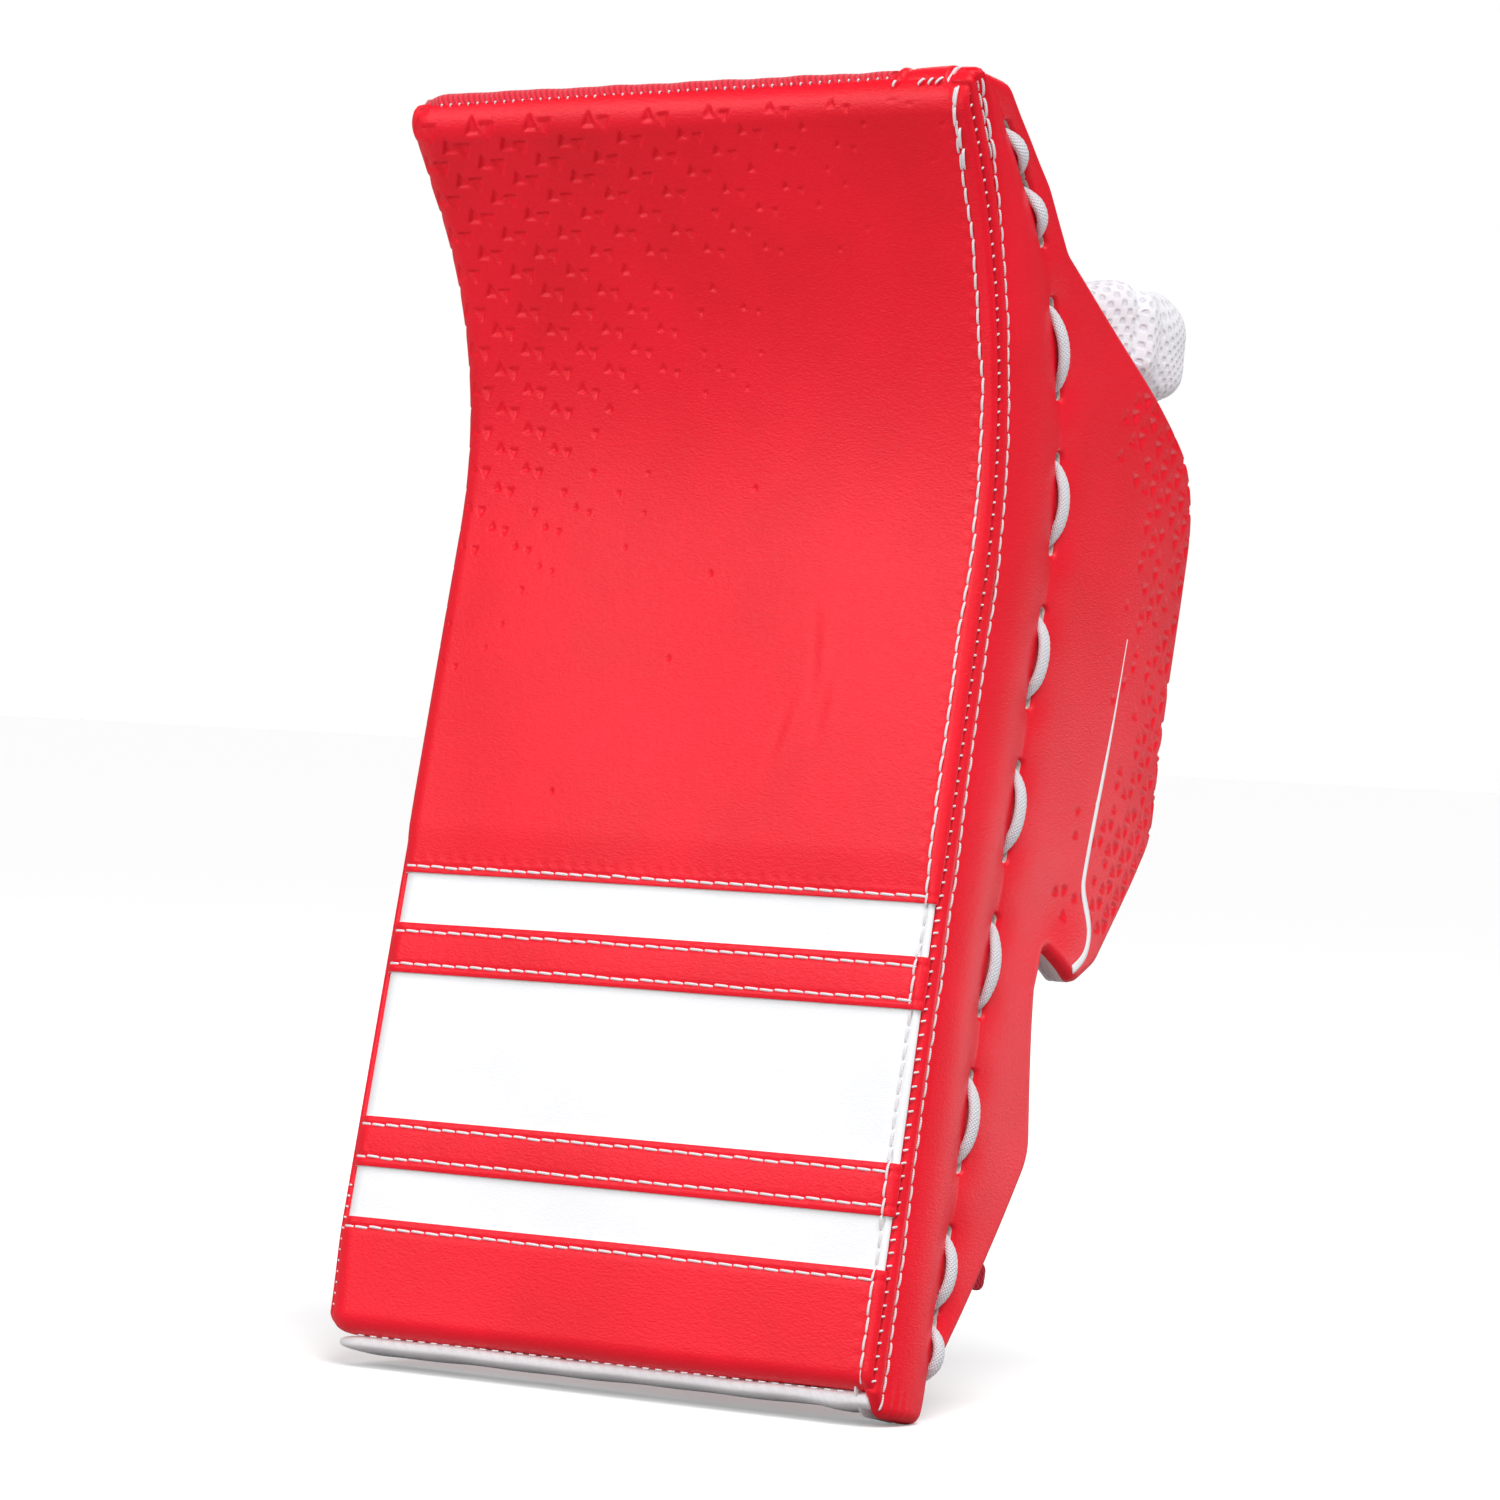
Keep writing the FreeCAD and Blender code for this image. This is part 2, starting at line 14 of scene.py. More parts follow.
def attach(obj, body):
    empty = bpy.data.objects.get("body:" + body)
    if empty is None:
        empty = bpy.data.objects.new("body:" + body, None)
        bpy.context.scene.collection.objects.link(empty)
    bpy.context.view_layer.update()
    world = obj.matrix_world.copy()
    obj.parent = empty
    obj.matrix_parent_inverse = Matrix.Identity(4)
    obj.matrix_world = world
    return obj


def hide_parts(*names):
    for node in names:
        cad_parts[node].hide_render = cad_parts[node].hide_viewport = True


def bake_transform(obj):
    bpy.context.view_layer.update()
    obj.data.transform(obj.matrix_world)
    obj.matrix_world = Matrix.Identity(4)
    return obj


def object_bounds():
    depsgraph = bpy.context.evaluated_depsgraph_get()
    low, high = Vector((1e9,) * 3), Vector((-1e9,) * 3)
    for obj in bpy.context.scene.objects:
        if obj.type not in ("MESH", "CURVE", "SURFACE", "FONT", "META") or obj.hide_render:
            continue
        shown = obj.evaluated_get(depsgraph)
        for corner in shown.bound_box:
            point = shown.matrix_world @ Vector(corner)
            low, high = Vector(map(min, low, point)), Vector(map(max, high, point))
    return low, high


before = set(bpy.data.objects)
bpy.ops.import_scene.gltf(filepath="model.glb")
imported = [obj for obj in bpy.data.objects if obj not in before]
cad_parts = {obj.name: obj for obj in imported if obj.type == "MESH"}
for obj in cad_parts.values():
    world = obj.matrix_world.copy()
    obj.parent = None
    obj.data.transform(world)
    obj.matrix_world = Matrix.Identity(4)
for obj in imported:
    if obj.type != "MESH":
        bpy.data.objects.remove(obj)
CAD_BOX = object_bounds()

MM = 0.001
LEAN = math.radians(-11.7)
HAND_ENTRY = (18.0, 78.0, 348.0)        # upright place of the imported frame's origin
TILT = np.array(Matrix.Rotation(LEAN, 3, "X"))
ORIGIN = TILT @ np.array(HAND_ENTRY)
ROOT = "glove_and_board"
RANDOM = np.random.default_rng(7)

# Board
HALF_WIDTH = 101.5
LENGTH = 381.0
DEPTH = 24.0
TOP_DEPTH = 12.5
LITTLE_EDGE = (math.radians(-1.1), 249.0, 128.0)    # forward tilt, straight length, curl radius
THUMB_EDGE = (math.radians(1.1), 236.0, 227.0)
SKIN = 1.2
BASE_DEPTH = 1.25
BASE_SKIN = 0.95
BACK_INSET = 6.5            # back skin, padding and stiffener together
SIDE_ROLL = 8.5             # radius of the padded edge on the little-finger side
TOP_ROLL = 8.5
BOTTOM_ROLL = 6.0
BACK_ROLL = 2.5             # radius at which the side wall's leather turns in at the back
CORNER_ROLL = 3.0           # extra radius of the side roll at the corners
CORNER_GAP = 0.5            # between the leather's rounded corners and what lies inside them
SEAM_ROLL = 2.4             # radius of the leather's turned-in edge at the thumb-side seam
SEAM_INSET = 0.7
SEAM_START = HALF_WIDTH - SEAM_INSET - SEAM_ROLL
SEAM_TURN = 1.35            # how far round the leather turns in at the seam, in radians
CAP_FRONT = 2.6             # how far behind the face the bottom cap starts
CAP_HALF_DEPTH = 10.8
FOOT_CAP = 5.0              # how far the bottom cap reaches under the side panel's thinned foot
STRIPES = {
    "face_bottom_panel": (0.0, 34.9),
    "red_band_lower": (50.3, 65.6),
    "red_band_upper": (110.0, 125.4),
    "face_top_panel": (140.9, LENGTH),
}
STITCH_ROWS = {
    "face_bottom_panel": [31.9],
    "red_band_lower": [53.2, 63.1],
    "red_band_upper": [112.7, 122.8],
    "face_top_panel": [142.9],
}
STITCH_PITCH = 5.4
SEAM_STITCH_PITCH = 5.0
SEAM_STITCH_X = 96.8        # topstitching on the face beside the seam
SEAM_STITCH_DEPTH = 7.2     # topstitching on the side panel beside the seam
DOUBLED_STITCHES = 26.0     # the seam's rows are sewn over again this far from the top
CROSS_PITCH = 3.7           # threads across the seam
THREAD = 0.42               # thread radius
THIN_THREAD = 0.34

# Embossed triangles on the face
EMBOSS_ROW = 6.1
EMBOSS_PAIR = 21.5
EMBOSS_SIZE = 6.6
EMBOSS_SMALLEST = 2.3
FINE_GRID = 0.52            # spacing of the points where triangles are pressed in

# Side panel
SIDE_THICKNESS = 8.0
LINING = 1.2
FLAP_BEND_START = 62.0
FLAP_BEND_RADIUS = 200.0
SEAM_DEPTH = 2.8
SIDE_OUTLINE = [            # corners down the rear of the side panel: y, z, corner radius
    (-46.0, 377.5, 3.0),
    (-28.0, 377.5, 8.0),
    (0.0, 355.0, 30.0),
    (15.0, 338.5, 10.0),
    (114.0, 291.0, 34.0),
    (119.5, 183.0, 20.0),
    (87.0, 139.0, 13.0),
    (73.0, 130.5, 7.0),
    (55.0, 138.5, 1.2),
    (54.5, 126.0, 8.0),
    (65.0, 78.0, 18.0),
    (30.0, 4.0, 12.0),
    (27.0, -6.5, 5.0),
    (8.0, -6.5, 6.0),
]
LACE_LINE_Y = 29.5
LACE_STRAIGHT = 253.0
LACE_CURL_RADIUS = 141.0
LACE_PITCH = 22.9
LACE_HOLES = [8.0, 22.0, 29.0] + [48.4 + LACE_PITCH * i for i in range(14)] + [360.1, 367.1, 380.5]
HOLE_HALF_LENGTH = 3.9
HOLE_RADIUS = 2.7
STRIP_THICKNESS = 2.2
LACE_WIDTH = 4.7
LACE_HEIGHT = 2.5
LACE_STEP = 0.55            # between the rings of points along the lace
RIM_RADIUS = 3.6            # rounding of the side panel's free edges
SLIT_RADIUS = 1.5           # the leather closes in round the lace inside each hole
STRIPE_LINE = [             # the white line down the flap: y, z
    (76.5, 236.0), (73.7, 197.0), (71.2, 163.0), (72.5, 158.0),
    (78.5, 149.5), (78.8, 144.0), (76.5, 139.5), (69.5, 134.8),
]

# Cuff
INFLATE_FRAMES = 20         # length of the cloth simulations
LOBE_GROWTH = (1.0, 1.84, 1.36)     # the thumb-side lobe puffs out past its CAD solid
LOBE_SHIFT = (0.0, -8.3, 2.5)
MESH_PERIODS = (5.8, 4.6)   # spacing of the spacer mesh's eyes round and up the cuff

# Camera and light
CAMERA_AZIMUTH = math.radians(35.34)
CAMERA_ELEVATION = math.radians(1.41)
CAMERA_ROLL = math.radians(1.95)
CAMERA_DISTANCE = 2.01
CAMERA_LENS = 165.64
CAMERA_AIM = Vector((0.0194, -0.1260, -0.1450))
LOW_RIGHT_AIM = Vector((0.10, -0.10, -0.245))
WORLD_LIGHT = 0.22          # backdrop brightness that lights the object; the camera sees white
FLOOR_BOUNCE = 0.38         # share of its light that the floor gives back to the object
FLOOR_GLOW = 0.19
FLOOR_GAP = 0.0005
FLOOR_REACH = 6.0


# ---------------------------------------------------------------- frame and mesh helpers

def to_row(points):
    """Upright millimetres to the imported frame's metres."""
    return (np.asarray(points, float) @ TILT.T - ORIGIN) * MM


def to_upright(points):
    """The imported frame's metres to upright millimetres."""
    return (np.asarray(points, float) / MM + ORIGIN) @ TILT


def coordinates(piece):
    """The piece's points in the row's frame."""
    points = np.empty(len(piece.data.vertices) * 3)
    piece.data.vertices.foreach_get("co", points)
    return points.reshape(-1, 3)


def set_coordinates(piece, points):
    """Puts the piece's points at these places."""
    piece.data.vertices.foreach_set("co", np.asarray(points, np.float32).ravel())
    piece.data.update()


def vertex_normals(piece):
    """The normal at each of the piece's points."""
    normals = np.empty(len(piece.data.vertices) * 3)
    piece.data.vertex_normals.foreach_get("vector", normals)
    return normals.reshape(-1, 3)


def upright_box(node):
    """Low and high corner of a CAD node in upright millimetres."""
    points = to_upright(coordinates(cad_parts[node]))
    return points.min(0), points.max(0)


def smoothstep(low, high, value):
    """0 at the first value and 1 at the second, with a smooth change between."""
    t = np.clip((value - low) / (high - low), 0.0, 1.0)
    return t * t * (3 - 2 * t)


def bell(value, width):
    """1 at zero, falling smoothly away on both sides of it."""
    return np.exp(-(value / width) ** 2)


def new_object(name, data):
    """A new object in the scene with this data."""
    added = bpy.data.objects.new(name, data)
    bpy.context.scene.collection.objects.link(added)
    return added


def shade_smooth(mesh):
    """Smooth shading over the whole piece."""
    mesh.polygons.foreach_set("use_smooth", np.full(len(mesh.polygons), True))


def new_piece(name, points, faces, materials, face_material=None):
    """A mesh piece from upright points and lists of point numbers."""
    mesh = bpy.data.meshes.new(name)
    mesh.from_pydata(to_row(points).tolist(), [], faces)
    for made in materials:
        mesh.materials.append(made)
    if face_material is not None:
        mesh.polygons.foreach_set("material_index", np.asarray(face_material, np.int32))
    shade_smooth(mesh)
    mesh.update()
    return new_object(name, mesh)


def make_outward(piece):
    """Turns every face to look outwards."""
    build = bmesh.new()
    build.from_mesh(piece.data)
    bmesh.ops.recalc_face_normals(build, faces=build.faces)
    build.to_mesh(piece.data)
    build.free()


def store_place(piece, name, place):
    """Stores a vector at each point, for a material to read."""
    attribute = piece.data.attributes.new(name, "FLOAT_VECTOR", "POINT")
    attribute.data.foreach_set("vector", place.astype(np.float32).ravel())


def finish_piece(piece, body=ROOT, nodes=()):
    """Attaches the piece to the body it rides on and hides the CAD nodes it stands for."""
    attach(piece, body)
    if nodes:
        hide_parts(*nodes)
    return piece


def grid_faces(rows, columns, start=0, flip=False):
    index = np.arange(rows * columns).reshape(rows, columns) + start
    faces = np.stack([index[:-1, :-1], index[:-1, 1:], index[1:, 1:], index[1:, :-1]], -1).reshape(-1, 4)
    return faces[:, ::-1] if flip else faces


def border(rows, columns):
    """Indices round the edge of a grid, anticlockwise."""
    index = np.arange(rows * columns).reshape(rows, columns)
    return np.concatenate([index[0, :-1], index[:-1, -1], index[-1, :0:-1], index[:0:-1, 0]])


def slab(name, front, back, materials, edge_material=0):
    """A closed sheet between two grids of points, rows by columns."""
    rows, columns = front.shape[:2]
    count = rows * columns
    rim = border(rows, columns)
    following = np.roll(rim, -1)
    sides = np.stack([rim, rim + count, following + count, following], -1)
    faces = np.concatenate([
        grid_faces(rows, columns),
        grid_faces(rows, columns, count, flip=True),
        sides,
    ])
    index = np.zeros(len(faces), np.int32)
    index[-len(sides):] = edge_material
    points = np.concatenate([front.reshape(-1, 3), back.reshape(-1, 3)])
    piece = new_piece(name, points, faces.tolist(), materials, index)
    make_outward(piece)
    return piece


def ring_walls(count, sides):
    """Faces between rings of points, each ring joined to the next."""
    index = np.arange(count * sides).reshape(count, sides)
    ahead = np.roll(index, -1, axis=1)
    return np.stack([index[:-1], ahead[:-1], ahead[1:], index[1:]], -1).reshape(-1, 4)


def tube(name, rings, materials):
    """A closed skin through rings of points, with a flat face at each end."""
    count, sides = rings.shape[:2]
    last = (count - 1) * sides
    ends = [list(range(sides - 1, -1, -1)), list(range(last, last + sides))]
    piece = new_piece(name, rings.reshape(-1, 3), ring_walls(count, sides).tolist() + ends, materials)
    make_outward(piece)
    return piece


def resample(points, count):
    """Points evenly spaced along a line."""
    points = np.asarray(points, float)
    lengths = np.concatenate([[0.0], np.cumsum(np.linalg.norm(np.diff(points, axis=0), axis=1))])
    wanted = np.linspace(0.0, lengths[-1], count)
    return np.stack([np.interp(wanted, lengths, points[:, axis]) for axis in range(points.shape[1])], -1)


def spaced(first, *stretches):
    """Numbers from first on, each stretch given by its end and its count of numbers."""
    numbers = [np.array([first])]
    for end, count in stretches:
        numbers.append(np.linspace(numbers[-1][-1], end, count)[1:])
    return np.concatenate(numbers)


def rectangle_line(low, high, inset, count):
    """Points along the four sides of a rectangle, this far inside it."""
    (left, bottom), (right, top) = np.add(low, inset), np.subtract(high, inset)
    corners = np.array([(left, bottom), (right, bottom), (right, top), (left, top), (left, bottom)])
    return np.concatenate([resample(corners[side:side + 2], count) for side in range(4)])


def gap_to_sides(x, z, low, high):
    """Distance from each point to the nearest side of a rectangle."""
    return np.minimum(np.minimum(x - low[0], high[0] - x), np.minimum(z - low[1], high[1] - z))


def rounding(gap, radius):
    """How far a rounded edge falls away at this distance from it."""
    left = np.clip(radius - gap, 0.0, radius)
    return radius - np.sqrt(radius ** 2 - left ** 2)


def line_length(points):
    """The length of a line of points."""
    return float(np.linalg.norm(np.diff(points, axis=0), axis=1).sum())


def rounded(points, passes=3):
    """The line with its corners cut again and again until it is smooth."""
    points = np.asarray(points, float)
    for _ in range(passes):
        quarter = points[:-1] * 0.75 + points[1:] * 0.25
        three = points[:-1] * 0.25 + points[1:] * 0.75
        middle = np.stack([quarter, three], 1).reshape(-1, points.shape[1])
        points = np.concatenate([points[:1], middle[1:-1], points[-1:]])
    return points


# ---------------------------------------------------------------- materials

def material(name, colour, roughness, **sockets):
    """A principled material; sockets are named as on the shader, with _ for a space."""
    made = bpy.data.materials.new(name)
    made.use_nodes = True
    shader = made.node_tree.nodes["Principled BSDF"]
    shader.inputs["Base Color"].default_value = (*colour, 1.0)
    shader.inputs["Roughness"].default_value = roughness
    for socket, value in sockets.items():
        shader.inputs[socket.replace("_", " ")].default_value = value
    return made


def node(made, kind, links=None, **settings):
    """A node with its properties and inputs set. links gives the socket that feeds each input."""
    added = made.node_tree.nodes.new(kind)
    for name, value in settings.items():
        if hasattr(added, name):
            setattr(added, name, value)
        else:
            added.inputs[name.replace("_", " ")].default_value = value
    for name, socket in (links or {}).items():
        made.node_tree.links.new(socket, added.inputs[name])
    return added


def millimetres(made, stretch=(1.0, 1.0, 1.0), turn=(0.0, 0.0, 0.0)):
    """Object coordinates in millimetres."""
    place = node(made, "ShaderNodeTexCoord").outputs["Object"]
    scale = [1000.0 * s for s in stretch]
    return node(made, "ShaderNodeMapping", {"Vector": place}, Scale=scale, Rotation=turn).outputs["Vector"]


def noise(made, vector, size, detail=3.0, roughness=0.55):
    """Noise with features of this size in millimetres."""
    added = node(
        made, "ShaderNodeTexNoise", {"Vector": vector}, Scale=1.0 / size, Detail=detail, Roughness=roughness
    )
    return added.outputs["Fac"]


def cells(made, vector, size, randomness=1.0):
    """Distance from the middle of the nearest cell."""
    added = node(made, "ShaderNodeTexVoronoi", {"Vector": vector}, Scale=1.0 / size, Randomness=randomness)
    return added.outputs["Distance"]


def bands(made, vector, size, direction="X"):
    """Rounded ridges, one every size millimetres."""
    added = node(
        made, "ShaderNodeTexWave", {"Vector": vector}, wave_type="BANDS", bands_direction=direction,
        wave_profile="SIN", Scale=math.pi / (10 * size),
    )
    return added.outputs["Fac"]


def maths(made, operation, a, b):
    """Two numbers or sockets through a Math node."""
    links = {}
    added = node(made, "ShaderNodeMath", operation=operation)
    for number, value in enumerate((a, b)):
        if isinstance(value, (int, float)):
            added.inputs[number].default_value = value
        else:
            links[number] = value
    for number, socket in links.items():
        made.node_tree.links.new(socket, added.inputs[number])
    return added.outputs[0]


def span(made, value, low, high, to_low=0.0, to_high=1.0):
    """Value mapped from one span to another."""
    added = node(made, "ShaderNodeMapRange", {"Value": value})
    for number, limit in zip((1, 2, 3, 4), (low, high, to_low, to_high)):
        added.inputs[number].default_value = limit
    return added.outputs[0]


def tint(made, factor, first, second):
    """Base colour between two colours."""
    mix = node(made, "ShaderNodeMix", {"Factor": factor}, data_type="RGBA")
    mix.inputs[6].default_value = (*first, 1.0)
    mix.inputs[7].default_value = (*second, 1.0)
    shader = made.node_tree.nodes["Principled BSDF"]
    made.node_tree.links.new(mix.outputs[2], shader.inputs["Base Color"])


def gloss(made, factor, low, high):
    """Roughness that follows a factor."""
    shader = made.node_tree.nodes["Principled BSDF"]
    made.node_tree.links.new(span(made, factor, 0.0, 1.0, low, high), shader.inputs["Roughness"])


def emboss(made, height, depth, strength=1.0):
    """Bump of this depth in millimetres."""
    bump = node(made, "ShaderNodeBump", {"Height": height}, Strength=strength, Distance=depth * MM)
    shader = made.node_tree.nodes["Principled BSDF"]
    made.node_tree.links.new(bump.outputs["Normal"], shader.inputs["Normal"])


def leather(name, dark, light, roughness=0.42, grain=0.10, top_coat=(1.0, 1.0, 1.0, 1.0)):
    """Fine-grained synthetic leather: short level wrinkles over small pebbles."""
    made = material(name, light, roughness, Specular_IOR_Level=0.5, Specular_Tint=top_coat)
    wrinkles = noise(made, millimetres(made, (0.55, 0.55, 1.6)), 1.0, 4.0, 0.6)
    pebbles = cells(made, millimetres(made, (1.0, 1.0, 1.35)), 0.75)
    clouds = noise(made, millimetres(made), 38.0, 2.0)
    height = maths(made, "ADD", maths(made, "MULTIPLY", wrinkles, 1.2), maths(made, "MULTIPLY", pebbles, 0.5))
    broad = span(made, clouds, 0.35, 0.65, 0.0, 0.7)
    # Painted shade in the grain: the wrinkle valleys that the bump presses in are also coloured darker; the
    # broad clouds are a random tone.
    shade = maths(made, "ADD", broad, span(made, wrinkles, 0.3, 0.7, 0.0, 0.3))
    tint(made, shade, dark, light)
    gloss(made, wrinkles, roughness - 0.07, roughness + 0.09)
    emboss(made, height, grain)
    return made


def woven(name, dark, light, pitch, roughness=0.8, depth=0.15, sheen=0.2, turn=0.0):
    """Plain woven cloth with a thread every pitch millimetres, on a face of any direction."""
    made = material(name, light, roughness, Specular_IOR_Level=0.25, Sheen_Weight=sheen, Sheen_Roughness=0.4)
    diagonal = math.radians(45 + turn)
    warp = bands(made, millimetres(made, turn=(0.0, diagonal, diagonal)), pitch, "X")
    weft = bands(made, millimetres(made, turn=(diagonal, -diagonal, 0.0)), pitch, "Z")
    fuzz = noise(made, millimetres(made), 0.35, 2.0)
    clouds = noise(made, millimetres(made), 25.0, 2.0)
    weave = maths(made, "MAXIMUM", warp, weft)
    height = maths(made, "ADD", weave, maths(made, "MULTIPLY", fuzz, 0.4))
    # Painted shade: the threads that the weave raises are coloured lighter and the gaps between them darker;
    # the clouds are a random tone.
    shade = maths(made, "ADD", maths(made, "MULTIPLY", weave, 0.6), maths(made, "MULTIPLY", clouds, 0.5))
    tint(made, shade, dark, light)
    gloss(made, fuzz, roughness - 0.08, roughness + 0.08)
    emboss(made, height, depth)
    return made


def twill(name, dark, light, pitch=1.6):
    """Slanting ribs across a woven tape."""
    made = material(name, light, 0.62, Specular_IOR_Level=0.3, Sheen_Weight=0.25, Sheen_Roughness=0.4)
    ribs = bands(made, millimetres(made, turn=(0.0, math.radians(35), 0.0)), pitch, "X")
    weft = bands(made, millimetres(made), 0.7, "X")
    height = maths(made, "ADD", ribs, maths(made, "MULTIPLY", weft, 0.35))
    # Painted shade: the colour follows the ribs' height, darker in the grooves between the ribs.
    tint(made, span(made, height, 0.0, 1.2), dark, light)
    gloss(made, ribs, 0.7, 0.5)
    emboss(made, height, 0.3)
    return made


def mesh_cloth(name):
    """Knitted spacer mesh: staggered rows of shallow eyes between plump bars."""
    made = material(
        name, (0.86, 0.85, 0.9), 0.75, Specular_IOR_Level=0.25, Sheen_Weight=0.4, Sheen_Roughness=0.35,
    )
    place = node(made, "ShaderNodeAttribute", attribute_name="mesh_place").outputs["Vector"]
    apart = node(made, "ShaderNodeSeparateXYZ", {"Vector": place})
    turns = [
        maths(made, "COSINE", maths(made, "MULTIPLY", apart.outputs[axis], 2 * math.pi / period), 0.0)
        for axis, period in (("X", MESH_PERIODS[0]), ("Y", MESH_PERIODS[1]))
    ]
    eye = maths(made, "MULTIPLY", turns[0], turns[1])
    yarn = noise(made, millimetres(made), 0.4, 2.0)
    bar = span(made, eye, 0.75, 0.05)
    height = maths(made, "ADD", bar, maths(made, "MULTIPLY", yarn, 0.25))
    # Painted shade in the eyes: the sunken eyes are coloured a darker lavender than the raised bars.
    tint(made, bar, (0.83, 0.80, 0.88), (0.93, 0.92, 0.96))
    gloss(made, yarn, 0.65, 0.85)
    emboss(made, height, 0.35)
    return made


def suede(name, dark, light):
    """Napped synthetic suede with faint brushed patches."""
    made = material(name, light, 0.9, Specular_IOR_Level=0.15, Sheen_Weight=0.5, Sheen_Roughness=0.3)
    nap = noise(made, millimetres(made), 0.28, 4.0, 0.7)
    brushed = noise(made, millimetres(made, (1.0, 1.0, 0.45)), 9.0, 3.0)
    # The nap's share is painted shade, darker where the nap's bump is low; the brushed patches are a random
    # tone.
    tint(made, span(made, maths(made, "ADD", nap, brushed), 0.75, 1.25), dark, light)
    gloss(made, brushed, 0.8, 0.97)
    emboss(made, nap, 0.1)
    return made


def rubber_grip(name):
    """Moulded grip with small raised cells."""
    made = material(name, (0.04, 0.04, 0.045), 0.55, Specular_IOR_Level=0.5)
    raised = cells(made, millimetres(made), 3.0)
    dust = noise(made, millimetres(made), 6.0, 4.0)
    tint(made, dust, (0.018, 0.018, 0.02), (0.06, 0.06, 0.065))
    gloss(made, dust, 0.45, 0.7)
    emboss(made, span(made, raised, 0.15, 0.55, 1.0, 0.0), 0.5)
    return made


def hook_loop(name, colour):
    """Dense short pile."""
    made = material(name, colour, 0.95, Specular_IOR_Level=0.1, Sheen_Weight=0.6, Sheen_Roughness=0.5)
    pile = noise(made, millimetres(made), 0.5, 5.0, 0.8)
    # Painted shade in the pile: its colour follows the pile's bump, darker where the pile is low.
    tint(made, pile, tuple(c * 0.5 for c in colour), tuple(c * 1.6 for c in colour))
    gloss(made, pile, 0.85, 1.0)
    emboss(made, pile, 0.5)
    return made


def plastic_sheet(name, colour):
    made = material(name, colour, 0.4, Specular_IOR_Level=0.5)
    scuffs = noise(made, millimetres(made, (1.0, 1.0, 0.2)), 4.0, 5.0)
    tint(made, scuffs, tuple(c * 0.85 for c in colour), colour)
    gloss(made, scuffs, 0.3, 0.5)
    emboss(made, scuffs, 0.03)
    return made


def foam(name, colour):
    made = material(name, colour, 0.9, Specular_IOR_Level=0.2)
    pores = cells(made, millimetres(made), 0.6)
    # Painted shade in the pores: each pore's middle, where the bump sinks, is coloured darker.
    tint(made, pores, tuple(c * 0.75 for c in colour), colour)
    gloss(made, pores, 0.8, 0.95)
    emboss(made, pores, 0.2)
    return made


def braid(name, light, dark):
    """Tubular braid: slanting yarns both ways, from the lace's own along and around coordinates."""
    made = material(name, light, 0.7, Specular_IOR_Level=0.3, Sheen_Weight=0.3, Sheen_Roughness=0.4)
    place = node(made, "ShaderNodeAttribute", attribute_name="lace_place").outputs["Vector"]
    slants = []
    for turn in (math.radians(38), math.radians(-38)):
        mapping = node(made, "ShaderNodeMapping", {"Vector": place}, Rotation=(0.0, 0.0, turn))
        turned = mapping.outputs["Vector"]
        slants.append(bands(made, turned, 0.85, "X"))
    weave = maths(made, "MULTIPLY", slants[0], slants[1])
    fuzz = noise(made, millimetres(made), 0.3, 2.0)
    # Painted shade between the yarns: the colour follows the weave's height, darker in the hollows between
    # yarns.
    tint(made, span(made, weave, 0.0, 0.35), dark, light)
    gloss(made, fuzz, 0.6, 0.8)
    emboss(made, maths(made, "ADD", weave, maths(made, "MULTIPLY", fuzz, 0.3)), 0.3)
    return made


def thread_material(name, light, dark):
    """Twisted sewing thread."""
    made = material(name, light, 0.5, Specular_IOR_Level=0.4, Sheen_Weight=0.2, Sheen_Roughness=0.4)
    twist = bands(made, millimetres(made, turn=(0.6, 0.7, 0.5)), 0.45, "X")
    # Painted shade in the twist: the colour follows the twist's ridges, darker in the grooves between them.
    tint(made, span(made, twist, 0.0, 0.5), dark, light)
    gloss(made, twist, 0.6, 0.4)
    emboss(made, twist, 0.08)
    return made


RED = leather("red_leather", (0.80, 0.001, 0.014), (0.92, 0.001, 0.020), top_coat=(1.0, 0.64, 0.66, 1.0))
WHITE = leather("white_leather", (0.84, 0.85, 0.87), (0.90, 0.91, 0.93), 0.36, 0.035)
CUT_EDGE = foam("leather_cut_edge", (0.86, 0.74, 0.70))
WHITE_THREAD = thread_material("white_thread", (0.92, 0.91, 0.93), (0.62, 0.55, 0.58))
LACE = braid("lace_braid", (0.92, 0.92, 0.95), (0.70, 0.70, 0.76))
TWILL = twill("red_twill", (0.50, 0.002, 0.016), (0.92, 0.020, 0.050))
RED_TAPE = woven("red_webbing", (0.26, 0.002, 0.012), (0.58, 0.006, 0.034), 1.1, depth=0.3)
RED_NYLON = woven("red_nylon", (0.34, 0.003, 0.014), (0.58, 0.008, 0.030), 0.6, 0.6)
WHITE_LINING = woven("white_lining", (0.72, 0.72, 0.75), (0.90, 0.90, 0.92), 0.55)
CAP_CLOTH = woven("cap_cloth", (0.74, 0.74, 0.77), (0.93, 0.93, 0.95), 0.45, 0.7, 0.08)
SPACER_MESH = mesh_cloth("spacer_mesh")
GLOVE_CLOTH = woven("glove_cloth", (0.66, 0.66, 0.70), (0.90, 0.90, 0.92), 0.7, 0.8, 0.2)
GLOVE_LEATHER = leather("glove_leather", (0.80, 0.80, 0.82), (0.89, 0.89, 0.91), 0.5, 0.08)
PALM = suede("palm_suede", (0.50, 0.51, 0.53), (0.72, 0.73, 0.75))
GRIP = rubber_grip("grip_rubber")
WEBBING = woven("black_webbing", (0.010, 0.010, 0.012), (0.055, 0.055, 0.060), 1.3, 0.7, 0.35, 0.1)
LOOP = hook_loop("loop_pile", (0.035, 0.035, 0.040))
STIFFENER = plastic_sheet("stiffener_plastic", (0.85, 0.85, 0.82))
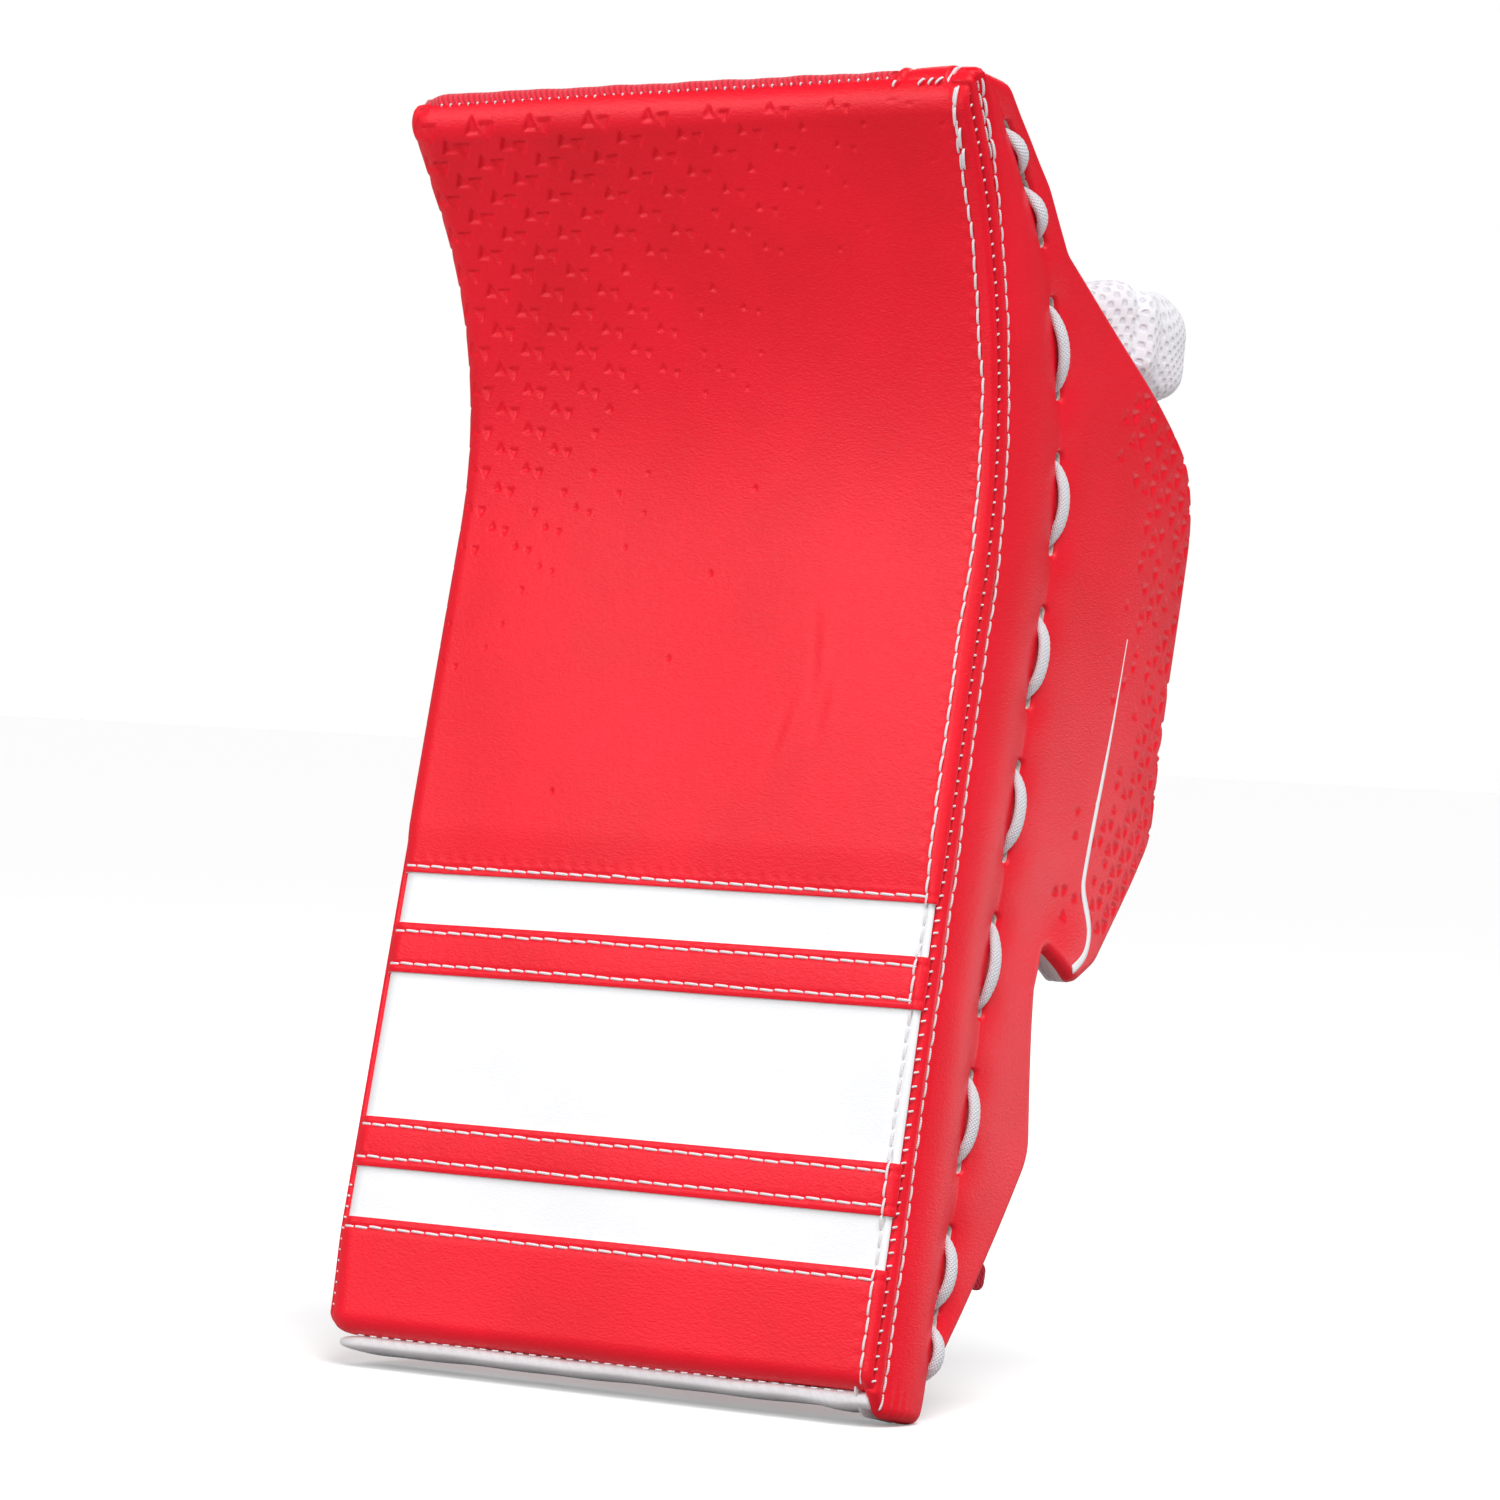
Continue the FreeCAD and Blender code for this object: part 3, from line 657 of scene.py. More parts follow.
FOAM = foam("core_foam", (0.84, 0.84, 0.80))
PULL_PLASTIC = plastic_sheet("pull_end_plastic", (0.05, 0.05, 0.055))


# ---------------------------------------------------------------- thread

THREAD_STEPS = np.array([0.0, 0.1, 0.3, 0.5, 0.7, 0.9, 1.0])
THREAD_LIFT = np.array([-0.75, 0.1, 0.5, 0.6, 0.5, 0.1, -0.75])    # in thread radii above the leather
THREAD_TAPER = np.array([0.55, 0.9, 1.0, 1.0, 1.0, 0.9, 0.55])
THREAD_SIDES = 7


def threads(name, starts, ends, normals, radius, made=WHITE_THREAD, body=ROOT, slot="lace_cord"):
    """One piece with a short bowed thread from each start to each end."""
    starts, ends, normals = (np.asarray(a, float) for a in (starts, ends, normals))
    normals = normals / np.linalg.norm(normals, axis=1, keepdims=True)
    run = ends - starts
    run /= np.linalg.norm(run, axis=1, keepdims=True)
    across = np.cross(run, normals)
    across /= np.linalg.norm(across, axis=1, keepdims=True)
    centres = (
        starts[:, None] * (1 - THREAD_STEPS)[None, :, None]
        + ends[:, None] * THREAD_STEPS[None, :, None]
        + normals[:, None] * (THREAD_LIFT * radius)[None, :, None]
    )
    angles = np.arange(THREAD_SIDES) * 2 * math.pi / THREAD_SIDES
    ring = (
        across[:, None, None] * (np.cos(angles) * radius)[None, None, :, None]
        + normals[:, None, None] * (np.sin(angles) * radius * 0.8)[None, None, :, None]
    )
    points = centres[:, :, None] + ring * THREAD_TAPER[None, :, None, None]
    steps = len(THREAD_STEPS)
    size = steps * THREAD_SIDES
    walls = ring_walls(steps, THREAD_SIDES)
    firsts = np.arange(len(starts)) * size
    faces = (walls[None] + firsts[:, None, None]).reshape(-1, 4).tolist()
    for first in firsts.tolist():
        faces.append(list(range(first, first + THREAD_SIDES)))
        faces.append(list(range(first + size - THREAD_SIDES, first + size)))
    piece = new_piece(name, points.reshape(-1, 3), faces, [made])
    make_outward(piece)
    return finish_piece(piece, body)


def stitch_line(line, normals, pitch, share, wobble):
    """Starts, ends and normals of running stitches along a line of surface points."""
    total = line_length(line)
    count = max(int(round(total / pitch)), 1)
    parts = 40
    fine = resample(np.concatenate([line, normals], 1), count * parts + 1)
    points, directions = fine[:, :3], fine[:, 3:]
    gap = int(round(parts * (1 - share) / 2))
    first = np.arange(count) * parts + gap
    last = np.arange(count) * parts + parts - gap
    run = points[last] - points[first]
    across = np.cross(run, directions[first])
    across /= np.linalg.norm(across, axis=1, keepdims=True)
    shift = across * RANDOM.normal(0.0, wobble, count)[:, None]
    lean = across * wobble
    return points[first] + shift - lean, points[last] + shift + lean, directions[first]


def stitches(name, line, normals, pitch, radius=THREAD, share=0.94, wobble=0.12, **where):
    """One piece with running stitches along a line of surface points."""
    return threads(name, *stitch_line(line, normals, pitch, share, wobble), radius, **where)


# ---------------------------------------------------------------- board surfaces

def edge_point(edge, along, depth):
    """(y, z) of points this far up a side edge of the face and this far behind it."""
    tilt, straight, radius = edge
    angle = tilt + np.maximum(along - straight, 0.0) / radius
    run = np.minimum(along, straight)
    y = -run * math.sin(tilt) - radius * math.cos(tilt) + (radius + depth) * np.cos(angle)
    z = run * math.cos(tilt) - radius * math.sin(tilt) + (radius + depth) * np.sin(angle)
    return np.stack([y, z], -1)


def board_point(x, along, depth):
    """Upright points this far across and up the face, and this far behind it."""
    x, along, depth = np.broadcast_arrays(x, along, depth)
    share = ((x + HALF_WIDTH) / (2 * HALF_WIDTH))[..., None]
    yz = edge_point(LITTLE_EDGE, along, depth) * (1 - share) + edge_point(THUMB_EDGE, along, depth) * share
    return np.concatenate([x[..., None], yz], -1)


def back_y(x, z):
    """The board's back at this height: flat, then an arc to the thinner top end."""
    result = []
    for edge in (LITTLE_EDGE, THUMB_EDGE):
        top_y, top_z = edge_point(edge, LENGTH, TOP_DEPTH)
        bend_z = edge_point(edge, edge[1], -edge[2])[1]
        drop = DEPTH - top_y
        radius = (drop ** 2 + (top_z - bend_z) ** 2) / (2 * drop)
        past = np.clip(z - bend_z, 0.0, radius)
        result.append(DEPTH - radius + np.sqrt(radius ** 2 - past ** 2))
    share = (x + HALF_WIDTH) / (2 * HALF_WIDTH)
    return result[0] * (1 - share) + result[1] * share


def board_depth(x, along):
    """How far the back lies behind the face, along the face's own normal."""
    x, along = np.broadcast_arrays(x, along)
    low = np.full(x.shape, 4.0)
    high = np.full(x.shape, 34.0)
    for _ in range(22):
        middle = (low + high) / 2
        point = board_point(x, along, middle)
        inside = point[..., 1] < back_y(x, point[..., 2])
        low = np.where(inside, middle, low)
        high = np.where(inside, high, middle)
    return (low + high) / 2


def wrap_angle(along):
    """How far round the rolled side edge the face panels reach."""
    return np.radians(40.0 + 38.0 * smoothstep(145.0, 225.0, along))


def side_radius(along):
    """Radius of the rolled side edge: wider at both corners."""
    corners = (1 - smoothstep(4.0, 34.0, along)) + 1.2 * smoothstep(LENGTH - 30.0, LENGTH - 5.0, along)
    return SIDE_ROLL + CORNER_ROLL * corners


def skin_point(across, along, depth):
    """The face's covering: it rolls over the side, top and bottom edges and turns in at the seam."""
    across, along, depth = np.broadcast_arrays(across, along, depth)
    side_roll = side_radius(along)
    end_roll = np.where(along > LENGTH / 2, TOP_ROLL, BOTTOM_ROLL)
    side_start = -HALF_WIDTH + side_roll
    past_side = np.maximum(side_start - across, 0.0) / side_roll
    past_top = np.maximum(along - (LENGTH - TOP_ROLL), 0.0) / TOP_ROLL
    past_bottom = np.maximum(BOTTOM_ROLL - along, 0.0) / BOTTOM_ROLL
    past_end = past_top + past_bottom
    angle = np.hypot(past_side, past_end)
    side_share = past_side / np.maximum(angle, 1e-9)
    end_share = past_end / np.maximum(angle, 1e-9)
    turned = np.minimum(angle, math.pi / 2)
    roll = side_roll * side_share ** 2 + end_roll * end_share ** 2
    roll = np.where(angle > 0, roll, side_roll)
    x = np.maximum(across, side_start) - (side_roll - depth) * np.sin(turned) * side_share
    rise = (end_roll - depth) * np.sin(turned) * end_share
    middle = np.clip(along, BOTTOM_ROLL, LENGTH - TOP_ROLL)
    up = middle + np.where(along > LENGTH / 2, rise, -rise)
    behind = roll - (roll - depth) * np.cos(turned) + roll * (angle - turned)
    seam_angle = np.clip((across - SEAM_START) / SEAM_ROLL, 0.0, SEAM_TURN)
    seam_x = SEAM_START + (SEAM_ROLL - depth) * np.sin(seam_angle)
    seam_depth = SEAM_ROLL - (SEAM_ROLL - depth) * np.cos(seam_angle)
    at_seam = across > SEAM_START
    x = np.where(at_seam, seam_x, x)
    behind = np.where(at_seam, seam_depth + behind - depth, behind)
    return board_point(x, up, behind)


def across_lines(fine, fine_to):
    """Columns across the face: below 0 they run round the side roll, above it they are millimetres across."""
    flat_end = SEAM_START + HALF_WIDTH - SIDE_ROLL
    near_seam = flat_end - 9.0
    return np.concatenate([
        np.linspace(-1.0, 0.0, 26)[:-1],
        np.arange(0.0, fine_to, fine),
        np.linspace(fine_to, near_seam, max(int((near_seam - fine_to) / 1.1), 2)),
        np.linspace(near_seam, flat_end, 18)[1:],
        flat_end + np.linspace(0.0, SEAM_TURN, 9)[1:] * SEAM_ROLL,
    ])


def across_place(columns, along):
    """Distance across the face of each column at each height."""
    roll = side_radius(along)
    start = -HALF_WIDTH + roll
    flat_width = SEAM_START + HALF_WIDTH - SIDE_ROLL
    wrapped = start + columns * roll * wrap_angle(along)
    flat = start + columns * (SEAM_START - start) / flat_width
    beyond = columns - flat_width
    return np.where(columns < 0, wrapped, np.where(beyond > 0, SEAM_START + beyond, flat))


def crown(across, along):
    """The padding's gentle swell and waves in front of the face plane, in millimetres."""
    swell = 1.0 * (1 - (across / HALF_WIDTH) ** 2) * smoothstep(0.0, 40.0, along)
    swell *= 1 - smoothstep(LENGTH - 60.0, LENGTH, along)
    waves = 0.22 * np.sin(across / 17.0 + along / 41.0) + 0.16 * np.sin(across / 29.0 - along / 23.0 + 1.3)
    return swell + waves * smoothstep(-HALF_WIDTH, -HALF_WIDTH + 25.0, across)


def creases(across, along):
    """A few soft wrinkles low on the thumb side of the big panel."""
    relief = 0.0
    folds = ((46.0, 214.0, -0.12, 13.0), (52.0, 196.0, 0.10, 9.0), (38.0, 190.0, 0.25, 8.0))
    for x, z, slant, length in folds:
        offset = across - x - slant * (along - z)
        relief = relief + 0.16 * (bell(offset, 2.2) - 0.8 * bell(offset - 3.4, 2.6)) * bell(along - z, length)
    return relief


def triangle_dips(across, along, triangles):
    """Depth of pressed-in triangles: each slopes from its point down to a steep wall at its base."""
    dips = np.zeros(across.shape)
    for x, z, size, way in triangles:
        near = (np.abs(across - x) < size) & (np.abs(along - z) < size)
        if not near.any():
            continue
        up = (along[near] - z) * way / size
        side = np.abs(across[near] - x) / size
        base = (up + 0.5) * size
        flank = (0.5 - up - 1.9 * side) * size * 0.46
        inside = smoothstep(0.0, 0.6, np.minimum(base, flank))
        slope = 0.7 + 0.3 * np.clip(0.5 - up, 0.0, 1.0)
        depth = 0.30 + 0.10 * size
        dips[near] = np.maximum(dips[near], inside * slope * depth)
    return dips


def face_triangles():
    """Pairs of triangles, large at the top corner on the little-finger side and fading away from it."""
    triangles = []
    for row in range(36):
        z = LENGTH - 3.5 - EMBOSS_ROW * row
        for column in range(-1, 10):
            x = -HALF_WIDTH + 6.0 + EMBOSS_PAIR * (column + 0.5 * (row % 2))
            for offset, rise, way in ((0.0, 0.0, 1), (5.4, -2.4, -1)):
                fade = (x + offset + HALF_WIDTH) / 198.0 + (LENGTH - z) / 196.0
                chance = RANDOM.random()
                if fade > 1.08 or chance < 1.9 * (fade - 0.62):
                    continue
                size = max(EMBOSS_SMALLEST, EMBOSS_SIZE * float(np.clip(1 - 0.85 * fade, 0.0, 1.0)) ** 0.6)
                triangles.append((x + offset, z + rise, size, way))
    for x, z in ((-8.0, 210.0), (-44.0, 168.0), (16.0, 262.0), (3.0, 236.0)):
        triangles.append((x, z, EMBOSS_SMALLEST + 0.4, 1))
    return triangles


def stitch_grooves(across, along, rows):
    """The leather pulled down along its stitch rows, and puckered between needle holes."""
    dips = 0.0
    pucker = 0.5 + 0.5 * np.cos(2 * math.pi * across / STITCH_PITCH)
    for row in rows:
        dips = dips + 0.42 * bell(along - row, 0.9) + 0.16 * pucker * bell(along - row - 2.2, 1.6)
    seam_pucker = 0.5 + 0.5 * np.cos(2 * math.pi * along / SEAM_STITCH_PITCH)
    beside = across - SEAM_STITCH_X
    return dips + 0.40 * bell(beside, 0.9) + 0.14 * seam_pucker * bell(beside + 1.8, 1.4)


def top_puff(along):
    """How far the padding lifts the big top panel, above its lowest row of stitches."""
    first_row = STITCH_ROWS["face_top_panel"][0]
    return 0.9 * smoothstep(first_row, first_row + 14.0, along)


def panel_heights(start, end, fine, is_base):
    """Heights of a panel's rows of points; the outer panels run on round the board's ends."""
    below = 0.0
    if start == 0.0:
        below = BOTTOM_ROLL * (0.51 if is_base else 0.85)
    above = 0.0
    if end == LENGTH:
        above = -4.0 if is_base else 2.6
    return np.concatenate([
        np.linspace(start - below, start + 4.0, 12)[:-1],
        np.arange(start + 4.0, end - 4.0, fine),
        np.linspace(end - 4.0, end + above, 12),
    ])


def face_relief(across, along, start, end, rows, triangles, is_base):
    """How far behind the face plane a panel's surface lies."""
    relief = stitch_grooves(across, along, rows) - crown(across, along)
    if not is_base:
        bottom_edge = 0.35 * bell(along - start, 0.9) * (start > 0)
        top_edge = 0.35 * bell(along - end, 0.9) * (end < LENGTH)
        relief = relief - top_puff(along) + bottom_edge + top_edge
    if triangles:
        at_edge = 0.4 + 0.6 * smoothstep(-HALF_WIDTH - 2.0, -HALF_WIDTH + 9.0, across)
        relief = relief + creases(across, along) + at_edge * triangle_dips(across, along, triangles)
    at_top = smoothstep(LENGTH - 1.5, LENGTH + 2.0, along)
    at_corner = smoothstep(12.0 - HALF_WIDTH, -HALF_WIDTH, across)
    turned_in = smoothstep(HALF_WIDTH - 5.0, HALF_WIDTH - 2.0, across)
    return (relief + 2.2 * at_top * at_corner) * (1 - 0.6 * turned_in)


def face_piece(name, start, end, rows, fine, materials, triangles=()):
    """One leather panel of the face, from start to end up it."""
    is_base = name == "white_base_panel"
    lift = BASE_DEPTH if is_base else 0.0
    thickness = BASE_SKIN if is_base else SKIN
    columns = across_lines(FINE_GRID if triangles else 1.6, 165.0)
    heights = panel_heights(start, end, fine, is_base)
    along = np.broadcast_to(heights[:, None], (len(heights), len(columns)))
    across = across_place(columns[None, :], along)
    relief = face_relief(across, along, start, end, rows, triangles, is_base)
    front = skin_point(across, along, lift + relief)
    back = skin_point(across, along, lift + thickness + relief * 0.4)
    piece = slab(name + "_leather", front, back, materials, edge_material=len(materials) - 1)
    return finish_piece(piece, nodes=[name])


def make_face():
    """The white base panel and the four red panels sewn on it."""
    face_piece("white_base_panel", 0.0, LENGTH, [], 3.0, [WHITE, WHITE])
    for name, (start, end) in STRIPES.items():
        pressed = name == "face_top_panel"
        triangles = face_triangles() if pressed else ()
        fine = FINE_GRID if pressed else 1.0
        face_piece(name, start, end, STITCH_ROWS[name], fine, [RED, CUT_EDGE], triangles)


def face_stitches():
    """Topstitching on the face: level rows on the stripes and one row beside the seam."""
    columns = spaced(-0.9, (0.0, 12), (190.0, 160))
    for name, rows in STITCH_ROWS.items():
        for number, row in enumerate(rows):
            across = across_place(columns, np.full(len(columns), row))
            puff = -crown(across, row)
            line = skin_point(across, row, puff + 0.36)
            outer = skin_point(across, row, puff - 0.7)
            stitches(f"{name}_stitches_{number}", line, outer - line, STITCH_PITCH)
    along = np.linspace(1.0, LENGTH - 1.5, 300)
    on_red = np.zeros(along.shape, bool)
    for start, end in STRIPES.values():
        on_red |= (along >= start) & (along <= end)
    lift = np.where(on_red, 0.0, BASE_DEPTH) - top_puff(along) - crown(SEAM_STITCH_X, along)
    waver = SEAM_STITCH_X + 0.35 * np.sin(along / 19.0) + 0.2 * np.sin(along / 7.3)
    line = skin_point(waver, along, lift + 0.30)
    outer = skin_point(waver, along, lift - 0.7)
    stitches("face_seam_stitches", line, outer - line, SEAM_STITCH_PITCH, share=1.0, wobble=0.16)
    again = along > LENGTH - DOUBLED_STITCHES
    line, outer = (skin_point(waver + 0.5, along, lift + depth)[again] for depth in (0.0, -1.0))
    sew_again("face_seam_back_stitches", line, outer - line)


def sew_again(name, line, normals):
    """The thicker, looser stitches sewn over a seam row at the top."""
    stitches(name, line, normals, 1.4 * SEAM_STITCH_PITCH, 1.25 * THREAD, share=1.0, wobble=0.3)


def seam_threads():
    """Threads that cross the valley where the face meets the side panel."""
    along = np.arange(3.0, LENGTH - 2.0, CROSS_PITCH)
    along = along + RANDOM.normal(0, 0.15, len(along))
    from_face = board_point(HALF_WIDTH - 1.3, along, 1.9)
    to_side = board_point(HALF_WIDTH - 0.6, along + 0.5, 3.5)
    outwards = board_point(HALF_WIDTH + 2.0, along, 0.4) - board_point(HALF_WIDTH - 1.0, along, 2.8)
    threads("seam_cross_threads", from_face, to_side, outwards, THIN_THREAD)


def side_wall_rows():
    """Rows of the side wall: height, turn round the end, the end's radius and its way, -1 at the bottom."""
    turns = np.radians(np.linspace(0.0, 84.0, 26))
    bottom = [(BOTTOM_ROLL, turn, BOTTOM_ROLL, -1) for turn in turns[:0:-1]]
    middle = [(along, 0.0, TOP_ROLL, 1) for along in np.linspace(BOTTOM_ROLL, LENGTH - TOP_ROLL, 250)]
    top = [(LENGTH - TOP_ROLL, turn, TOP_ROLL, 1) for turn in turns[1:]]
    along, turn, end_roll, way = (np.array(part)[:, None] for part in zip(*bottom, *middle, *top))
    return along, turn, end_roll, way


def make_side_wall():
    """Leather round the little-finger edge, from the face panels to the back, closed round both corners."""
    along, turn, end_roll, way = side_wall_rows()
    side_roll = side_radius(along)
    roll = side_roll * np.cos(turn) ** 2 + end_roll * np.sin(turn) ** 2
    corner_x = -HALF_WIDTH + side_roll * (1 - np.cos(turn))
    behind = board_depth(corner_x, np.clip(along + way * end_roll * np.sin(turn), 0.0, LENGTH))
    first = wrap_angle(along) * (1 - 0.2 * np.sin(turn))
    last = math.pi / 2 + (behind - roll) / roll
    share = np.linspace(0.0, 1.0, 40)[None, :]
    angle = first + share * (last - first)
    across = -HALF_WIDTH + side_roll - side_roll * angle * np.cos(turn)
    up = along + way * end_roll * angle * np.sin(turn)
    place = (angle - first) * roll
    curl = np.clip((angle - last) * roll / BACK_ROLL + math.pi / 2, 0.0, math.pi / 2)
    groove = (1.2 * np.exp(-place / 0.7) - 0.5 * bell(place - 3.0, 2.4)) * np.cos(turn) + 0.7 * np.sin(turn)
    grids = []
    for depth in (0.0, SKIN):
        grid = skin_point(across, up, groove + depth)
        inward = (BACK_ROLL - depth) * (1 - np.cos(curl))
        grid[..., 0] += inward * np.cos(turn)
        grid[..., 2] -= way * inward * np.sin(turn)
        grid[..., 1] -= BACK_ROLL * curl - (BACK_ROLL - depth) * np.sin(curl)
        grids.append(grid)
    piece = slab("little_finger_side_wall_leather", *grids, [RED])
    finish_piece(piece, nodes=["little_finger_side_wall"])
    side_wall_stitches()


def side_wall_stitches():
    """Short threads that hold the lowest face panels to the side wall."""
    heights = np.arange(8.0, 46.0, 3.3)
    edge = -HALF_WIDTH + side_radius(heights) * (1 - wrap_angle(heights))
    starts = skin_point(edge + 0.7, heights, 0.1)
    ends = skin_point(edge - 1.4, heights + 0.3, 0.1)
    outward = skin_point(edge, heights, -2.0) - skin_point(edge, heights, 1.0)
    threads("side_wall_stitches", starts, ends, outward, 0.32)


def inside_corners(x, along):
    """X kept inside the board's two rounded corners on the little-finger side."""
    past = np.maximum((along - LENGTH + TOP_ROLL) / TOP_ROLL, (BOTTOM_ROLL - along) / BOTTOM_ROLL)
    inset = side_radius(along) * (1 - np.sqrt(1 - np.clip(past, 0.0, 0.98) ** 2)) + CORNER_GAP
    return np.maximum(x, -HALF_WIDTH + inset)


def make_stiffener():
    """The thin plastic sheet inside the board, its corners rounded."""
    low, high = upright_box("board_stiffener")
    x, along = np.meshgrid(np.linspace(low[0], high[0], 60), np.linspace(2.0, LENGTH - 2.0, 120))
    x = np.minimum(inside_corners(x, along) + 1.0, high[0])
    behind = board_depth(x, along) - BACK_INSET
    front, back = (board_point(x, along, behind + depth) for depth in (0.1, 1.2))
    piece = slab("board_stiffener_sheet", front, back, [STIFFENER])
    finish_piece(piece, nodes=["board_stiffener"])


def make_core():
    """The board's foam core, rounded where the leather rolls over it."""
    inner_x = HALF_WIDTH - SIDE_THICKNESS - 0.1
    columns = spaced(-1.0, (0.0, 12), (inner_x + HALF_WIDTH - SIDE_ROLL, 40))
    along = np.linspace(0.0, LENGTH, 130)[:, None] + np.zeros(len(columns))
    side_roll = side_radius(along)
    across = -HALF_WIDTH + side_roll + np.where(columns < 0, side_roll * columns, columns)
    front = skin_point(np.minimum(across, inner_x), along, BASE_DEPTH + BASE_SKIN + 0.1)
    back = front.copy()
    back[..., 1] = np.maximum(back_y(front[..., 0], front[..., 2]) - BACK_INSET, front[..., 1] + 0.5)
    piece = slab("board_core", front, back, [FOAM])
    finish_piece(piece, nodes=["board_foam_core"])


def make_back_skin():
    """The covering of the board's back, with a turned edge all round and a quilted row inside it."""
    low, high = upright_box("board_back_skin")
    bottom, top = 0.6, LENGTH - 0.4
    x = spaced(low[0], (low[0] + 6.0, 9), (high[0] - 6.0, 70), (high[0], 9))
    heights = spaced(bottom, (6.0, 8), (LENGTH - 6.0, 190), (top, 8))
    x, along = np.meshgrid(x, heights)
    x = inside_corners(x, along) + 2.0 * (x < 0)
    depth = board_depth(x, along)
    gap = gap_to_sides(x, along, (low[0], bottom), (high[0], top))
    turned = 0.7 * rounding(gap, 3.0)
    outer = board_point(x, along, depth - 0.6 - turned - 0.6 * bell(gap - 9.0, 1.0))
    inner = board_point(x, along, depth - 2.2 - turned)
    piece = slab("board_back_cover", inner, outer, [RED_NYLON])
    finish_piece(piece, nodes=["board_back_skin", "board_back_padding"])
    x, along = rectangle_line((low[0], bottom), (high[0], top), 9.0, 120).T
    surface = board_depth(x, along)
    line = board_point(x, along, surface - 1.1)
    outer = board_point(x, along, surface + 0.5)
    stitches("back_cover_stitches", line, outer - line, 4.2, 0.36)


def make_top_strip():
    """Twill tape over the board's top end, with whip stitches along its front edge."""
    left = -HALF_WIDTH + 5.0
    tab_low = float(upright_box("top_corner_tab")[0][0])
    columns = np.linspace(left, tab_low - 0.3, 180)
    x, share = np.meshgrid(columns, np.linspace(0.0, 1.0, 16), indexing="ij")
    corner = smoothstep(left, left + 11.0, x)
    front = 5.2 + 3.2 * (1 - corner)
    depth = front + share * (TOP_DEPTH + 0.4 - front)
    bulge = np.sin(share * math.pi) ** 0.6 * corner ** 0.5
    waves = 0.18 * np.sin(x / 5.3) + 0.12 * np.sin(x / 2.1 + 1.0)
    outer = board_point(x, LENGTH - 1.1 - 1.2 * (1 - corner) + (2.3 + waves) * bulge, depth)
    inner = board_point(x, LENGTH - 2.6, depth)
    piece = slab("top_end_tape", outer, inner, [TWILL])
    finish_piece(piece, nodes=["top_end_strip"])
    across = np.arange(left + 10.5, tab_low - 1.0, 3.3)
    first = skin_point(across, LENGTH + 2.2 + RANDOM.normal(0, 0.15, len(across)), -0.6)
    last = board_point(across + 0.6, LENGTH + 1.1, 5.9)
    outward = board_point(across, LENGTH + 3.0, 2.0) - board_point(across, LENGTH - 1.0, 5.0)
    threads("top_whip_stitches", first, last, outward, THIN_THREAD)


def make_corner_tab():
    """A leather tab folded over the top corner beside the seam, held by a few threads."""
    low, high = upright_box("top_corner_tab")
    columns = np.linspace(low[0] - 1.2, high[0] + 1.4, 60)
    x, share = np.meshgrid(columns, np.linspace(0.0, 1.0, 22), indexing="ij")
    place = (x - columns[0]) / np.ptp(columns)
    front = 2.4 + 1.6 * smoothstep(0.0, 0.5, 1 - place)
    depth = front + share * (TOP_DEPTH + 0.2 - front)
    bulge = np.sin(share * math.pi) ** 0.5 * (0.35 + 0.65 * smoothstep(0.0, 0.18, place))
    ends = smoothstep(0.0, 0.05, place) * (1 - 0.6 * smoothstep(0.93, 1.0, place))
    fold = 0.7 * bell(place - 0.22, 0.06) - 0.5 * bell(place - 0.3, 0.05)
    outer = board_point(x, LENGTH - 1.2 + (2.7 + 1.0 * place + fold) * bulge * ends, depth)
    inner = board_point(x, LENGTH - 2.6, depth)
    piece = slab("corner_tab_leather", outer, inner, [RED])
    finish_piece(piece, nodes=["top_corner_tab"])
    spots = low[0] + np.array([3.0, 11.5, 15.0, 17.4])
    slants = np.array([0.6, 1.8, 1.2, 2.2])
    first = board_point(spots, LENGTH - 0.3, 2.0)
    last = board_point(spots + slants, LENGTH + 1.0, 3.6)
    outward = board_point(spots, LENGTH + 3.0, 0.0) - board_point(spots, LENGTH - 1.0, 3.0)
    threads("corner_tab_threads", first, last, outward, THREAD)


def squared_circle(count, across_power, up_power):
    """A circle flattened towards a square, as the two coordinates of its points."""
    angles = np.linspace(0.0, 2 * math.pi, count, endpoint=False)
    across = np.sign(np.cos(angles)) * np.abs(np.cos(angles)) ** across_power
    up = np.sign(np.sin(angles)) * np.abs(np.sin(angles)) ** up_power
    return across, up


def make_bottom_cap():
    """White cloth cap along the bottom end, rounded at one corner and puckered at the other."""
    low, high = upright_box("bottom_end_cap")
    across, height = squared_circle(36, 0.62, 0.62)
    rings = []
    for x in spaced(low[0] + 3.0, (low[0] + 22.0, 40), (high[0] + FOOT_CAP, 150)):
        corner = math.sqrt(max(0.02, 1 - (max(low[0] + 17.0 - x, 0.0) / 15.0) ** 2))
        pucker = float(bell(x - (high[0] - 7.0), 7.0))
        pleats = 0.3 * pucker * math.sin(x * 2.4) * (height < 0)
        waves = 0.1225 * math.sin(x / 11.0) + 0.0875 * math.sin(x / 4.7)
        behind = CAP_FRONT + CAP_HALF_DEPTH + across * (CAP_HALF_DEPTH - 0.5 * CAP_FRONT) * corner
        up = -2.1 - 0.3 * pucker + height * (2.45 + 0.5 * pucker) * corner + pleats + waves
        rings.append(board_point(np.full(behind.shape, x), up, behind))
    piece = tube("bottom_cap_cloth", np.array(rings), [CAP_CLOTH])
    finish_piece(piece, nodes=["bottom_end_cap"])
    spots = np.arange(low[0] + 16.0, high[0] - 2.0, 4.6)
    first = board_point(spots, -0.4, 1.5)
    last = board_point(spots + 2.4, -0.4, 1.5)
    outward = board_point(spots, -2.0, -3.0) - board_point(spots, 0.0, 1.5)
    threads("bottom_cap_stitches", first, last, outward, 0.22)


# ---------------------------------------------------------------- side panel

